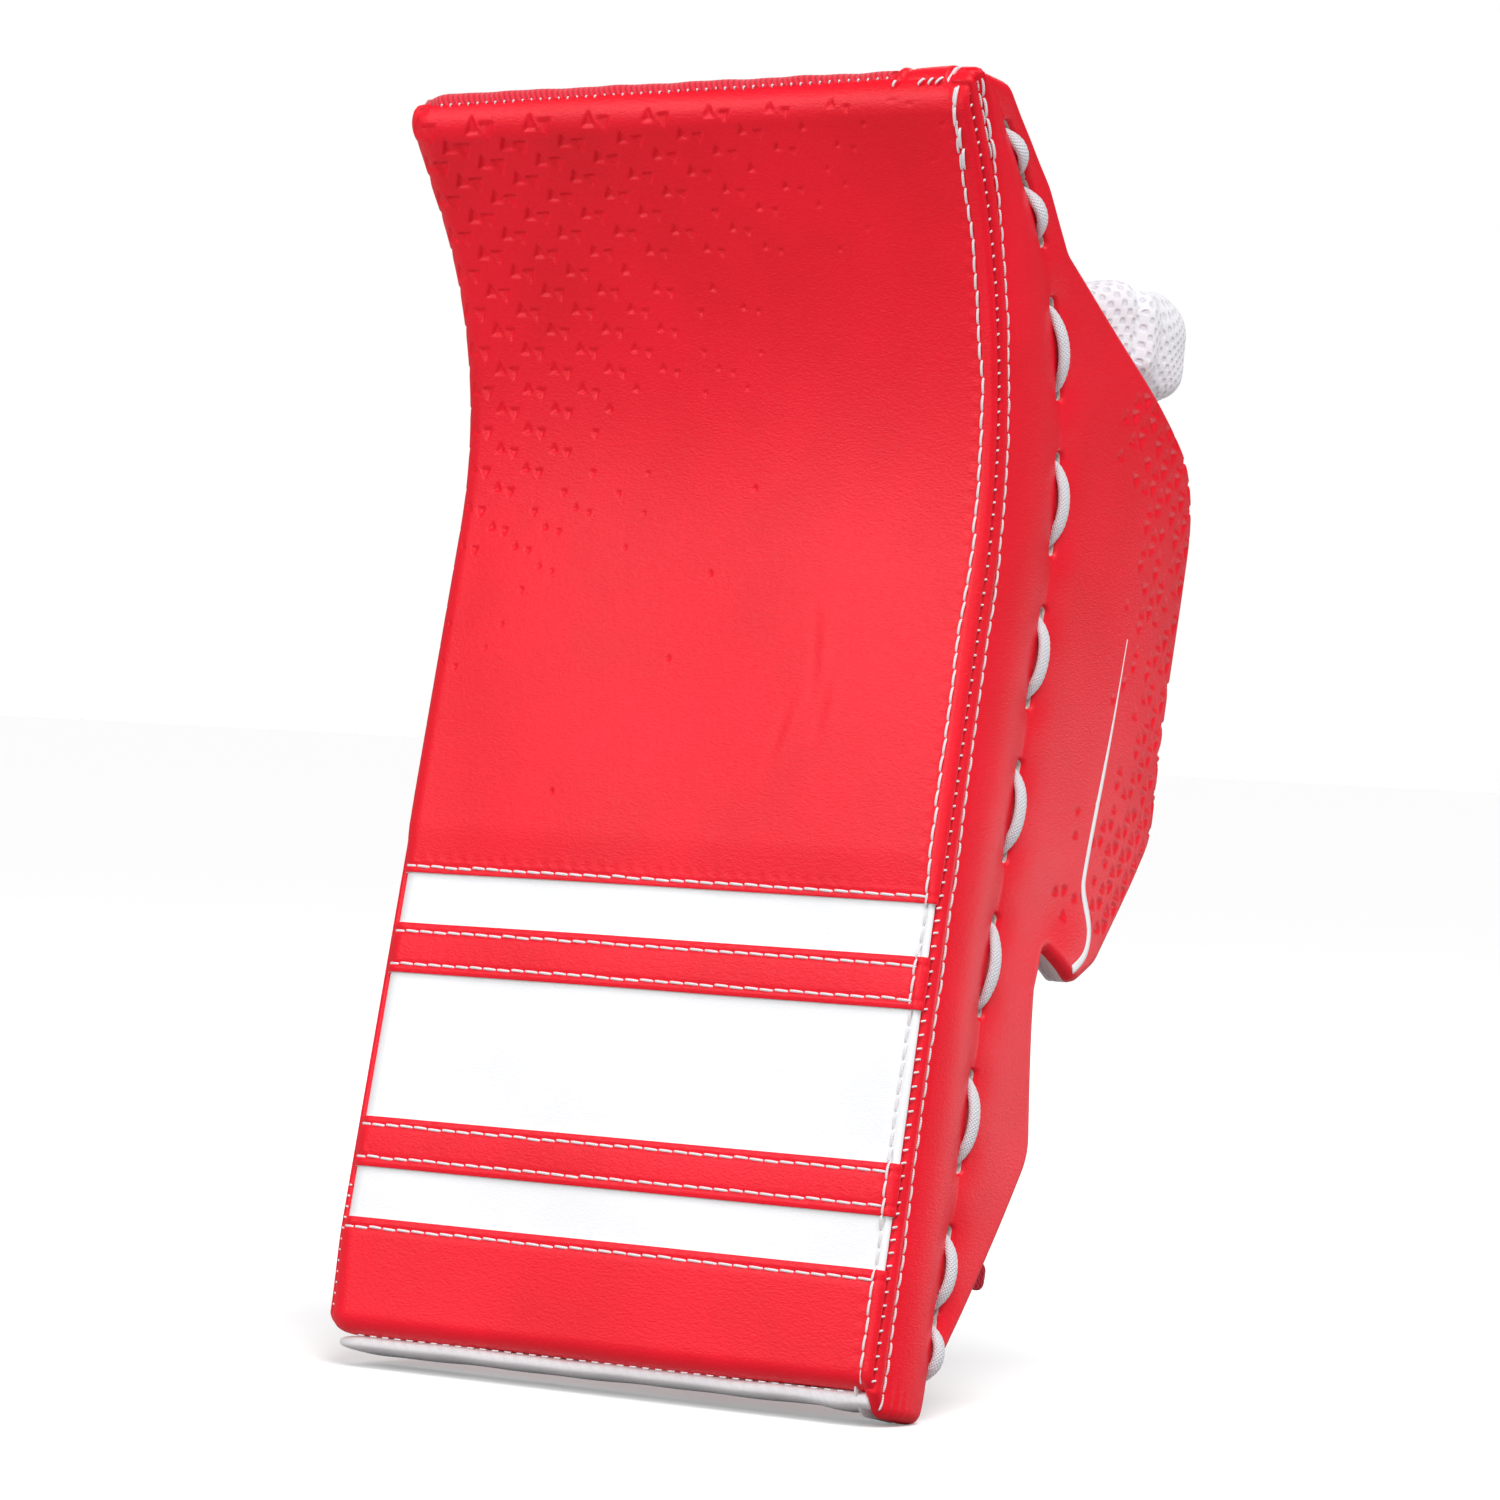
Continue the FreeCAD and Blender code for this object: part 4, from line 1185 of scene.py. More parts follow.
def rounded_corners(points, radii, step=0.6):
    """A line through the corners, each replaced by a tangent arc."""
    points = [np.array(p, float) for p in points]
    line = [points[0]]
    for before, corner, after, radius in zip(points, points[1:], points[2:], radii):
        d1 = (corner - before) / np.linalg.norm(corner - before)
        d2 = (after - corner) / np.linalg.norm(after - corner)
        half = math.acos(np.clip(d1 @ d2, -1.0, 1.0)) / 2
        start = corner - d1 * radius * math.tan(half)
        towards = (d2 - d1) / np.linalg.norm(d2 - d1)
        centre = corner + towards * radius / math.cos(half)
        count = max(int(radius * 2 * half / step), 2)
        first = start - centre
        turn = 1.0 if d1[0] * d2[1] - d1[1] * d2[0] > 0 else -1.0
        for share in np.linspace(0.0, 1.0, count + 1):
            angle = turn * 2 * half * share
            c, s = math.cos(angle), math.sin(angle)
            line.append(centre + np.array([c * first[0] - s * first[1], s * first[0] + c * first[1]]))
    line.append(points[-1])
    return np.array(line)


def side_outline():
    """The side panel's outline as points of y and z."""
    front = edge_point(THUMB_EDGE, np.linspace(0.0, LENGTH, 420), SEAM_DEPTH)
    corners = [front[-1]] + [(y, z) for y, z, _ in SIDE_OUTLINE] + [front[0]]
    rear = rounded_corners(corners, [r for _, _, r in SIDE_OUTLINE])
    loop = np.concatenate([front, rear[1:-1]])
    return resample(np.concatenate([loop, loop[:1]]), 2200)[:-1]


def hole_outline(along, radius):
    """One lace hole's outline as points of y and z."""
    turn = max(0.0, (along - LACE_STRAIGHT) / LACE_CURL_RADIUS)
    half = HOLE_HALF_LENGTH - radius
    angles = np.linspace(0.0, 2 * math.pi, 40, endpoint=False)
    across = np.cos(angles) * radius
    up = np.sin(angles) * radius + np.sign(np.sin(angles)) * half
    y, z = lace_line(along)
    c, s = math.cos(turn), math.sin(turn)
    return np.stack([y + c * across - s * up, z + s * across + c * up], -1)


def lace_line(along):
    """(y, z) this far up the lace line."""
    turn = np.maximum(0.0, along - LACE_STRAIGHT) / LACE_CURL_RADIUS
    y = LACE_LINE_Y - LACE_CURL_RADIUS * (1 - np.cos(turn))
    z = np.minimum(along, LACE_STRAIGHT) + LACE_CURL_RADIUS * np.sin(turn)
    return y, z


def lace_place(y, z):
    """How far behind the lace line points are, and how far up it."""
    centre_y = LACE_LINE_Y - LACE_CURL_RADIUS
    curled = z > LACE_STRAIGHT
    offset = np.where(curled, np.hypot(y - centre_y, z - LACE_STRAIGHT) - LACE_CURL_RADIUS, y - LACE_LINE_Y)
    angle = np.arctan2(z - LACE_STRAIGHT, y - centre_y)
    return offset, np.where(curled, LACE_STRAIGHT + LACE_CURL_RADIUS * angle, z)


def seam_place(y, z):
    """How far behind the face points are at the thumb-side edge."""
    tilt, straight, radius = THUMB_EDGE
    depth = y * math.cos(tilt) + z * math.sin(tilt)
    along = -y * math.sin(tilt) + z * math.cos(tilt)
    centre_y, centre_z = edge_point(THUMB_EDGE, straight, -radius)
    return np.where(along > straight, np.hypot(y - centre_y, z - centre_z) - radius, depth)


def flap_x(y):
    """X of the side panel before it is padded: flat, then curving in round the hand."""
    past = np.clip(y - FLAP_BEND_START, 0.0, FLAP_BEND_RADIUS * 0.6)
    return HALF_WIDTH - FLAP_BEND_RADIUS + np.sqrt(FLAP_BEND_RADIUS ** 2 - past ** 2)


def side_surface(y, z):
    """X of the side panel's outer face, before its edges are rounded."""
    offset, along = lace_place(y, z)
    depth = seam_place(y, z)
    past_stitches = depth - SEAM_STITCH_DEPTH
    share = np.clip(past_stitches / np.maximum(past_stitches - offset, 1.0), 0.0, 1.0)
    in_front = 2.3 * np.sin(math.pi * share) * (1.15 - 0.3 * share)
    behind = 2.0 * (1 - np.exp(-np.maximum(offset, 0.0) / 6.0)) * np.exp(-np.maximum(offset, 0.0) / 50.0)
    swell = np.where(offset < 0, in_front, behind)
    beside_seam = 0.5 * bell(depth - 4.9, 1.6) - 0.42 * bell(past_stitches, 0.9)
    for hole in LACE_HOLES:
        swell = swell - 0.9 * bell(along - hole, 7.5) * bell(offset, 6.5)
    waves = 0.45 * np.sin(z / 31.0 + 0.8) * np.sin(y / 23.0) + 0.2 * np.sin(z / 13.0 + y / 17.0)
    notch = 1.6 * bell(np.hypot(y - 66.0, z - 136.0), 13.0) - 1.2 * bell(np.hypot(y - 60.0, z - 152.0), 12.0)
    return flap_x(y) + swell + beside_seam + waves * smoothstep(10.0, 30.0, depth) + notch


def distance_to(points, loop):
    """Distance from each point to a closed line, and the nearest point on it."""
    best = np.full(len(points), 1e9)
    nearest = np.zeros_like(points)
    for block in range(0, len(points), 4000):
        some = points[block:block + 4000]
        gaps = ((some[:, None] - loop[None]) ** 2).sum(-1)
        closest = gaps.argmin(1)
        ahead = loop[(closest + 1) % len(loop)]
        behind = loop[closest - 1]
        here = loop[closest]
        for other in (ahead, behind):
            run = other - here
            t = np.clip(((some - here) * run).sum(1) / np.maximum((run ** 2).sum(1), 1e-12), 0.0, 1.0)
            candidate = here + run * t[:, None]
            gap = np.linalg.norm(some - candidate, axis=1)
            better = gap < best[block:block + 4000]
            best[block:block + 4000][better] = gap[better]
            nearest[block:block + 4000][better] = candidate[better]
    return best, nearest


def inside_loop(y, z, loop):
    """Whether each grid point is inside a closed line."""
    inside = np.zeros(y.shape, bool)
    after = np.roll(loop, -1, axis=0)
    for row in range(y.shape[1]):
        height = z[0, row]
        crossing = (loop[:, 1] > height) != (after[:, 1] > height)
        a, b = loop[crossing], after[crossing]
        at = a[:, 0] + (height - a[:, 1]) * (b[:, 0] - a[:, 0]) / (b[:, 1] - a[:, 1])
        inside[:, row] = (y[:, row][:, None] < at[None]).sum(1) % 2 == 1
    return inside


def kept_cells(y, z, step, loop, holes):
    """Which grid cells lie inside the outline and outside every hole."""
    centre_y, centre_z = (grid[:-1, :-1] + step / 2 for grid in (y, z))
    kept = inside_loop(centre_y, centre_z, loop)
    for hole in holes:
        box_low, box_high = hole.min(0) - step, hole.max(0) + step
        rows = (y[:-1, 0] > box_low[0]) & (y[:-1, 0] < box_high[0])
        columns = (z[0, :-1] > box_low[1]) & (z[0, :-1] < box_high[1])
        part = np.ix_(rows, columns)
        kept[part] &= ~inside_loop(centre_y[part], centre_z[part], hole)
    return kept


def settle_grid(y, z, kept, loop, holes):
    """Grid points with those at an edge moved onto it and the rest evened out, and which are in use."""
    count = np.zeros(y.shape, int)
    for i in (0, 1):
        for j in (0, 1):
            count[i:y.shape[0] - 1 + i, j:y.shape[1] - 1 + j] += kept
    at_edge = (count > 0) & (count < 4)
    places = np.stack([y, z], -1)
    targets = places[at_edge]
    best, nearest = distance_to(targets, loop)
    for hole in holes:
        gap, spot = distance_to(targets, hole)
        closer = gap < best
        best[closer], nearest[closer] = gap[closer], spot[closer]
    places[at_edge] = nearest
    inner = count == 4
    for _ in range(6):
        average = np.zeros_like(places)
        average[1:-1, 1:-1] = (
            places[:-2, 1:-1] + places[2:, 1:-1] + places[1:-1, :-2] + places[1:-1, 2:]
        ) / 4
        places[inner] = average[inner]
    return places, count > 0


def nearest_hole(points, holes):
    """Distance to the nearest hole's outline, for points within reach of one."""
    best = np.full(len(points), 1e9)
    for hole in holes:
        near = np.abs(points - hole.mean(0)).max(1) < 14.0
        gap, _ = distance_to(points[near], hole)
        best[near] = np.minimum(best[near], gap)
    return best


def free_edges(quads, total):
    """Edges, as pairs of point numbers, that belong to one face only."""
    edges = np.concatenate([quads[:, [corner, (corner + 1) % 4]] for corner in range(4)]).astype(np.int64)
    codes = edges[:, 0] * total + edges[:, 1]
    reverse = edges[:, 1] * total + edges[:, 0]
    return edges[~np.isin(codes, reverse)]


def plate(name, loop, holes, step, heights, materials, material_of=None):
    """A closed sheet in the side plane; heights gives its outer and inner X from points and edge gaps."""
    low, high = loop.min(0) - step, loop.max(0) + step
    y, z = np.meshgrid(np.arange(low[0], high[0], step), np.arange(low[1], high[1], step), indexing="ij")
    kept = kept_cells(y, z, step, loop, holes)
    places, used = settle_grid(y, z, kept, loop, holes)
    numbers = np.full(y.shape, -1)
    numbers[used] = np.arange(used.sum())
    i, j = np.nonzero(kept)
    quads = np.stack([numbers[i, j], numbers[i + 1, j], numbers[i + 1, j + 1], numbers[i, j + 1]], -1)
    flat = places[used]
    total = len(flat)
    hole_gap = nearest_hole(flat, holes)
    outer_x, inner_x = heights(flat[:, 0], flat[:, 1], distance_to(flat, loop)[0], hole_gap)
    rim = free_edges(quads, total)
    sides = np.stack([rim[:, 1], rim[:, 0], rim[:, 0] + total, rim[:, 1] + total], -1)
    points = np.concatenate([np.column_stack([outer_x, flat]), np.column_stack([inner_x, flat])])
    faces = np.concatenate([quads, quads[:, ::-1] + total, sides])
    index = None
    if material_of:
        is_outer = np.arange(len(faces)) < len(quads)
        at_hole = np.zeros(len(faces), bool)
        at_hole[-len(sides):] = hole_gap[rim[:, 0]] < 0.5
        index = material_of(points[faces].mean(1), is_outer, at_hole)
    return new_piece(name, points, faces.tolist(), materials, index)


def flap_triangles(loop):
    """Pressed triangles near the rear edge of the flap, fewer and smaller away from it."""
    triangles = []
    for row in range(30):
        z = 306.0 - EMBOSS_ROW * 0.98 * row
        reach = 46.0 if z > 170 else 26.0
        for column in range(-1, 8):
            middle = 52.0 + 10.6 * (column + 0.5 * (row % 2))
            for y, way in ((middle, 1), (middle + 4.6, -1)):
                spot = np.array([[y, z]])
                gap = float(distance_to(spot, loop)[0][0])
                inside = inside_loop(spot[:, :1], spot[:, 1:], loop)[0, 0]
                kept = RANDOM.random() >= (gap / reach) ** 2.2
                if kept and inside and gap >= 2.2 and z >= 150.0 and middle >= 56.0:
                    triangles.append((y, z, 5.4 - 2.2 * gap / reach, way))
    return triangles


def make_side_panel():
    """The padded side panel, its lining, its topstitching and the line down its flap."""
    loop = side_outline()
    make_side_leather(loop)
    make_side_lining(loop)
    side_stitches()
    make_stripe()


def make_side_leather(loop):
    """The side panel's leather over its foam, with its holes closed in round the lace."""
    slits = [hole_outline(along, SLIT_RADIUS) for along in LACE_HOLES]
    triangles = flap_triangles(loop)

    def heights(y, z, edge_gap, hole_gap):
        rim = np.where(seam_place(y, z) < 9.0, 2.3, RIM_RADIUS)
        pleats = 0.35 * np.sin(y * 2.1) * bell(np.hypot(y - 9.0, z + 4.0), 6.0)
        outer = side_surface(y, z) - triangle_dips(y, z, triangles)
        outer = outer - rounding(edge_gap, rim) - rounding(hole_gap, 0.8) + pleats
        foot = (SIDE_THICKNESS - LINING - 4.0) * smoothstep(5.0, -1.0, z) * smoothstep(26.0, 16.0, y)
        inner = flap_x(y) - SIDE_THICKNESS + LINING + 0.1 + 0.9 * rounding(edge_gap, 1.5) + foot
        return outer, inner

    def material_of(centres, is_outer, at_hole):
        y, z = centres[:, 1], centres[:, 2]
        lower_lip = ~is_outer & (y > 55.5) & (y < 82.0) & (z > 128.0) & (z < 140.0)
        return np.where(at_hole, 1, np.where(lower_lip, 2, 0))

    materials = [RED, CUT_EDGE, WHITE_LINING]
    piece = plate("side_panel_leather", loop, slits, 0.7, heights, materials, material_of)
    finish_piece(piece, nodes=["side_panel_skin", "side_panel_foam"])


def make_side_lining(loop):
    """The white cloth behind the side panel's foam."""
    holes = [hole_outline(along, HOLE_RADIUS) for along in LACE_HOLES]

    def heights(y, z, edge_gap, _):
        inner = flap_x(y) - SIDE_THICKNESS
        waves = 0.25 * np.sin(y / 9.0 + z / 15.0) * (edge_gap > 3)
        return inner + LINING, inner + np.minimum(rounding(edge_gap, 1.0), 0.7) + waves

    piece = plate("side_panel_lining_cloth", loop, holes, 1.2, heights, [WHITE_LINING])
    finish_piece(piece, nodes=["side_panel_lining"])


def side_point(y, z, lift=0.0):
    return np.stack([side_surface(y, z) + lift, y, z], -1)


def side_stitches():
    """Topstitching on the side panel beside the seam, doubled at the top."""
    along = np.linspace(-4.5, LENGTH - 0.5, 300)
    waver = SEAM_STITCH_DEPTH + 0.3 * np.sin(along / 17.0) + 0.2 * np.sin(along / 6.1 + 1.0)
    y, z = edge_point(THUMB_EDGE, along, waver).T
    outward = np.tile([1.0, 0.0, 0.0], (len(along), 1))
    line = side_point(y, z, 0.02)
    stitches("side_seam_stitches", line, outward, SEAM_STITCH_PITCH, share=1.0, wobble=0.16)
    again = along > LENGTH - DOUBLED_STITCHES
    sew_again("side_seam_back_stitches", side_point(y[again] + 0.6, z[again], 0.3), outward[again])


def make_stripe():
    """The narrow white line printed down the flap."""
    line = resample(rounded(STRIPE_LINE), 160)
    run = np.gradient(line, axis=0)
    run /= np.linalg.norm(run, axis=1, keepdims=True)
    across = np.stack([-run[:, 1], run[:, 0]], -1)
    place = np.linspace(0.0, 1.0, len(line))
    half_width = 0.25 + 0.80 * smoothstep(0.0, 0.55, place) + 0.35 * smoothstep(0.68, 0.80, place)
    columns = np.linspace(-1.0, 1.0, 5)
    yz = line[:, None] + across[:, None] * (half_width[:, None] * columns[None])[..., None]
    lift = 0.12 - 0.10 * np.abs(columns)[None, :]
    outer = side_point(yz[..., 0], yz[..., 1], lift)
    inner = side_point(yz[..., 0], yz[..., 1], -0.3)
    finish_piece(slab("flap_stripe", outer, inner, [WHITE]))


def lace_route(inside):
    """The lace's line as (x, height): puffed runs outside, straight runs behind, through every hole."""
    loop = side_outline()
    outside = HALF_WIDTH - 1.2
    passing = HALF_WIDTH - 4.0
    route = [(inside - 4.0, LACE_HOLES[0]), (inside + 3.0, LACE_HOLES[0])]
    for number, (here, ahead) in enumerate(zip(LACE_HOLES, LACE_HOLES[1:])):
        run = ahead - here
        if number % 2:
            route += [(inside + 2.5, here + 0.5), (inside, here + 0.2 * run + 0.8)]
            route += [(inside, ahead - 0.2 * run - 0.8), (inside + 2.5, ahead - 0.5)]
            continue
        middle = (here + ahead) / 2
        y, z = lace_line(middle)
        gap = distance_to(np.array([[y, z]]), loop)[0][0]
        leather = float(side_surface(np.array(y), np.array(z)) - rounding(gap, RIM_RADIUS))
        top = leather + LACE_HEIGHT / 2 + 0.35
        route += [(passing, here - 1.0), (outside, here + 0.4), (top - 0.5, here + 0.20 * run)]
        route += [(top + 0.4, here + 0.36 * run), (top + 0.6, middle), (top + 0.4, ahead - 0.36 * run)]
        route += [(top - 0.5, ahead - 0.20 * run), (outside, ahead - 0.4), (passing, ahead + 1.0)]
    route += [(inside + 3.0, LACE_HOLES[-1]), (inside - 4.0, LACE_HOLES[-1])]
    line = rounded(np.array(route), 3)
    return resample(line, int(line_length(line) / LACE_STEP)).T


def unit(vectors):
    """The same vectors, one unit long."""
    return vectors / np.linalg.norm(vectors, axis=1, keepdims=True)


def cord(name, points, side, up, shape, place_step, place_round):
    """Braided cord round a line; shape gives each ring's two coordinates, and its yarns follow the line."""
    across, height = shape
    rings = points[:, None] + side[:, None] * across[..., None] + up[:, None] * height[..., None]
    piece = tube(name, rings, [LACE])
    place = np.zeros(rings.shape)
    place[..., 0] = (np.arange(len(points)) * place_step)[:, None]
    place[..., 1] = np.arange(rings.shape[1]) * place_round
    store_place(piece, "lace_place", place)
    return piece


def make_lace():
    """The flat braided lace, knotted behind the board at both ends."""
    x, along = lace_route(HALF_WIDTH - SIDE_THICKNESS - STRIP_THICKNESS - LACE_HEIGHT / 2 - 0.4)
    points = np.stack([x, *lace_line(along)], -1)
    turn = np.maximum(0.0, along - LACE_STRAIGHT) / LACE_CURL_RADIUS
    side = np.stack([np.zeros(len(x)), np.cos(turn), np.sin(turn)], -1)
    up = np.cross(side, unit(np.gradient(points, axis=0)))
    sides = 22
    angles = np.linspace(0.0, 2 * math.pi, sides, endpoint=False)
    across, height = squared_circle(sides, 0.85, 0.9)
    spread = np.maximum(smoothstep(HALF_WIDTH - 1.5, HALF_WIDTH + 1.2, x), smoothstep(94.0, 91.0, x))
    half_width = (LACE_WIDTH / 2) * (0.56 + 0.44 * spread)
    beats = np.arange(len(x))[:, None] * LACE_STEP / 1.7 * 2 * math.pi
    ripple = 1 + 0.035 * np.sin(beats + 2 * angles[None])
    shape = (half_width[:, None] * across * ripple, LACE_HEIGHT / 2 * height * ripple)
    piece = cord("lace", points, side, up, shape, LACE_STEP, angles[1] * 2.1)
    finish_piece(piece, nodes=["side_lace"])
    make_knot("lace_knot_0", points[0], ["lace_knots"])
    make_knot("lace_knot_1", points[-1], [])


def make_knot(name, lace_end, nodes):
    """An overhand knot at a lace end: a cord wound twice round itself in a tight trefoil."""
    turn = np.linspace(0.0, 2 * math.pi, 91)
    path = np.stack([
        1.1 * np.sin(3 * turn),
        0.589 * (np.sin(turn) + 1.1 * np.sin(2 * turn)),
        0.589 * (np.cos(turn) - 1.1 * np.cos(2 * turn)),
    ], -1)
    run = unit(np.gradient(path, axis=0))
    side = unit(np.cross(run, [1.0, 0.2, 0.1]))
    up = np.cross(run, side)
    sides = 12
    shape = [1.15 * part[None] for part in squared_circle(sides, 1.0, 1.0)]
    centre = lace_end - np.array([2.8, 0.0, 0.0])
    piece = cord(name, path + centre, side, up, shape, 0.3, 2.4 * math.pi / sides)
    finish_piece(piece, nodes=nodes)


# ---------------------------------------------------------------- soft pieces from the CAD solids

def cad_copy(name, cad_node, *materials):
    """A new piece with a CAD node's mesh."""
    build = bmesh.new()
    build.from_mesh(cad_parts[cad_node].data)
    bmesh.ops.remove_doubles(build, verts=build.verts, dist=1e-6)
    mesh = bpy.data.meshes.new(name)
    build.to_mesh(mesh)
    build.free()
    mesh.materials.clear()
    for made in materials:
        mesh.materials.append(made)
    return new_object(name, mesh)


def apply_modifiers(piece):
    """Makes the modifiers' result the piece's own mesh."""
    graph = bpy.context.evaluated_depsgraph_get()
    mesh = bpy.data.meshes.new_from_object(piece.evaluated_get(graph), depsgraph=graph)
    piece.modifiers.clear()
    piece.data = mesh
    shade_smooth(mesh)


def remesh(piece, voxel, smoothing):
    """Even quads over the piece, this many millimetres wide, with its edges softened."""
    even = piece.modifiers.new("even", "REMESH")
    even.mode = "VOXEL"
    even.voxel_size = voxel * MM
    soft = piece.modifiers.new("soft", "SMOOTH")
    soft.factor = 0.5
    soft.iterations = smoothing
    apply_modifiers(piece)


def inflate(piece, swell):
    """Fills the piece like a cushion by cloth simulation; no point moves more than swell millimetres."""
    rest = coordinates(piece)
    cloth = piece.modifiers.new("cloth", "CLOTH")
    cloth.settings.quality = 4
    cloth.settings.mass = 0.2
    cloth.settings.use_pressure = True
    cloth.settings.uniform_pressure_force = 4.0
    cloth.settings.effector_weights.gravity = 0.0
    for number in range(1, INFLATE_FRAMES + 1):
        bpy.context.scene.frame_set(number)
    apply_modifiers(piece)
    moved = coordinates(piece) - rest
    length = np.linalg.norm(moved, axis=1, keepdims=True)
    moved *= np.minimum(1.0, swell * MM / np.maximum(length, 1e-9))
    set_coordinates(piece, rest + moved)
    bpy.context.scene.frame_set(1)


def subdivide(piece):
    level = piece.modifiers.new("level", "SUBSURF")
    level.levels = 1
    level.render_levels = 1
    apply_modifiers(piece)


def push_out(piece, amounts):
    """Moves each point along its normal by its amount in millimetres."""
    set_coordinates(piece, coordinates(piece) + vertex_normals(piece) * (amounts * MM)[:, None])


def press(piece, relief):
    """Moves each point along its normal by relief(upright points, normals), in millimetres."""
    push_out(piece, relief(to_upright(coordinates(piece)), vertex_normals(piece) @ TILT))


def paint(piece, choose):
    """Gives each face the material number that choose(centres) says, in the upright frame."""
    centres = np.empty(len(piece.data.polygons) * 3)
    piece.data.polygons.foreach_get("center", centres)
    index = choose(to_upright(centres.reshape(-1, 3)))
    piece.data.polygons.foreach_set("material_index", index.astype(np.int32))


def wrinkles(points, amount=0.3):
    """Low uneven folds for worn cloth."""
    x, y, z = points.T
    return amount * (np.sin(x / 6.1 + z / 9.3) * np.sin(y / 7.7 - z / 5.9) + 0.5 * np.sin(z / 3.4 + x / 11.0))


def plump(piece, growth, shift):
    """Grows the piece about its middle and moves it, in the upright frame."""
    points = to_upright(coordinates(piece))
    middle = (points.min(0) + points.max(0)) / 2
    set_coordinates(piece, to_row(middle + (points - middle) * growth + shift))


def mesh_coordinates(points, middle, scale, is_collar):
    """Millimetres round the cuff and up it, which its mesh follows, and the turn round it in degrees."""
    x, y, z = points.T
    out = np.hypot(x - middle[0], (y - middle[1]) * scale)
    turn = np.arctan2((y - middle[1]) * scale, x - middle[0])
    from_ring = out - (out.min() + out.max()) / 2 if is_collar else out
    rise = z - (z.min() + z.max()) / 2
    climb = np.arctan2(rise, from_ring) * np.hypot(rise, from_ring).mean()
    return np.stack([turn * out.mean(), climb, 0 * z], -1), np.degrees(turn)


def make_cuff():
    """The mesh-covered collar round the hand opening, and its thicker lobe on the thumb side."""
    for cad_node, voxel in (("cuff_roll", 3.5), ("cuff_thumb_lobe", 2.6)):
        is_collar = cad_node == "cuff_roll"
        piece = cad_copy(cad_node + "_padding", cad_node, SPACER_MESH)
        remesh(piece, voxel, 3)
        inflate(piece, 2.4)
        subdivide(piece)
        subdivide(piece)
        if not is_collar:
            plump(piece, LOBE_GROWTH, LOBE_SHIFT)
        low, high = upright_box(cad_node)
        middle = HAND_ENTRY if is_collar else (low + high) / 2
        points = to_upright(coordinates(piece))
        scale = (high[0] - low[0]) / (high[1] - low[1])
        place, degrees = mesh_coordinates(points, middle, scale, is_collar)
        store_place(piece, "mesh_place", place)
        if is_collar:
            points[:, 2] -= 2.5 + 6.5 * smoothstep(5.0, 38.0, -degrees) * smoothstep(100.0, 60.0, -degrees)
            set_coordinates(piece, to_row(points))
        eyes = np.cos(2 * math.pi * place[:, :2] / MESH_PERIODS).prod(1)
        tuck = 5.0 * bell(degrees + 1.0, 4.5) * is_collar
        push_out(piece, wrinkles(points, 0.5) - 0.16 * np.clip(eyes, -0.3, 1.0) - tuck)
        finish_piece(piece, nodes=[cad_node])


def channel_seams(points, low, high, count):
    """Distance of points from the nearest of the evenly spaced level seams between low and high."""
    pitch = (high[2] - low[2]) / count
    place = (points[:, 2] - low[2]) / pitch
    return np.abs(place - np.round(place)) * pitch


def make_pads():
    """The padded back of the hand and the long pad behind the fingers, with sewn channels."""
    for cad_node, channels, made, slot_name in (
        ("hand_back_pad", 3, GLOVE_CLOTH, "glove_fabric"),
        ("finger_guard_pad", 4, WHITE_LINING, "white_lining"),
    ):
        piece = cad_copy(cad_node + "_padding", cad_node, made)
        remesh(piece, 4.0, 2)
        inflate(piece, 2.0)
        subdivide(piece)
        low, high = upright_box(cad_node)

        def sewn(points, normals):
            seam = channel_seams(points, low, high, channels)
            return np.abs(normals[:, 1]) * (-1.3 * bell(seam, 1.8) - 0.3) + wrinkles(points, 0.25)

        press(piece, sewn)
        finish_piece(piece, nodes=[cad_node])


def make_gussets():
    """The two cloth side walls of the glove."""
    for cad_node in ("little_finger_gusset", "thumb_gusset"):
        piece = cad_copy(cad_node + "_cloth", cad_node, GLOVE_CLOTH)
        remesh(piece, 1.4, 2)
        press(piece, lambda points, normals: np.abs(normals[:, 0]) * wrinkles(points, 0.35))
        finish_piece(piece, nodes=[cad_node])


def make_palm():
    """The suede palm, sewn round its edge."""
    piece = cad_copy("palm_suede", "palm_panel", PALM)
    remesh(piece, 1.1, 1)
    press(piece, lambda points, normals: np.abs(normals[:, 1]) * wrinkles(points, 0.14))
    finish_piece(piece, nodes=["palm_panel"])
    low, high = upright_box("palm_panel")
    x, z = rectangle_line(low[[0, 2]], high[[0, 2]], 3.2, 60).T
    line = np.stack([x, np.full(len(x), high[1] + 0.05), z], -1)
    outward = np.tile([0.0, 1.0, 0.0], (len(line), 1))
    stitches("palm_stitches", line, outward, 3.0, 0.28, wobble=0.05)


def make_grip():
    """The moulded patch on the palm, covered in small raised cells."""
    low, high = upright_box("palm_grip_patch")
    x, z = np.meshgrid(np.linspace(low[0], high[0], 130), np.linspace(low[2], high[2], 90))
    gap = gap_to_sides(x, z, low[[0, 2]], high[[0, 2]])
    cell = np.cos(2 * math.pi * (x + z) / 7.0) * np.cos(2 * math.pi * (x - z) / 7.0)
    raised = 0.45 * smoothstep(-0.15, 0.25, cell) * smoothstep(2.0, 3.2, gap)
    front = np.stack([x, high[1] - 0.35 + raised - rounding(gap, 0.5), z], -1)
    back = np.stack([x, np.full(x.shape, low[1] + 0.02), z], -1)
    finish_piece(slab("palm_grip", front, back, [GRIP]), nodes=["palm_grip_patch"])


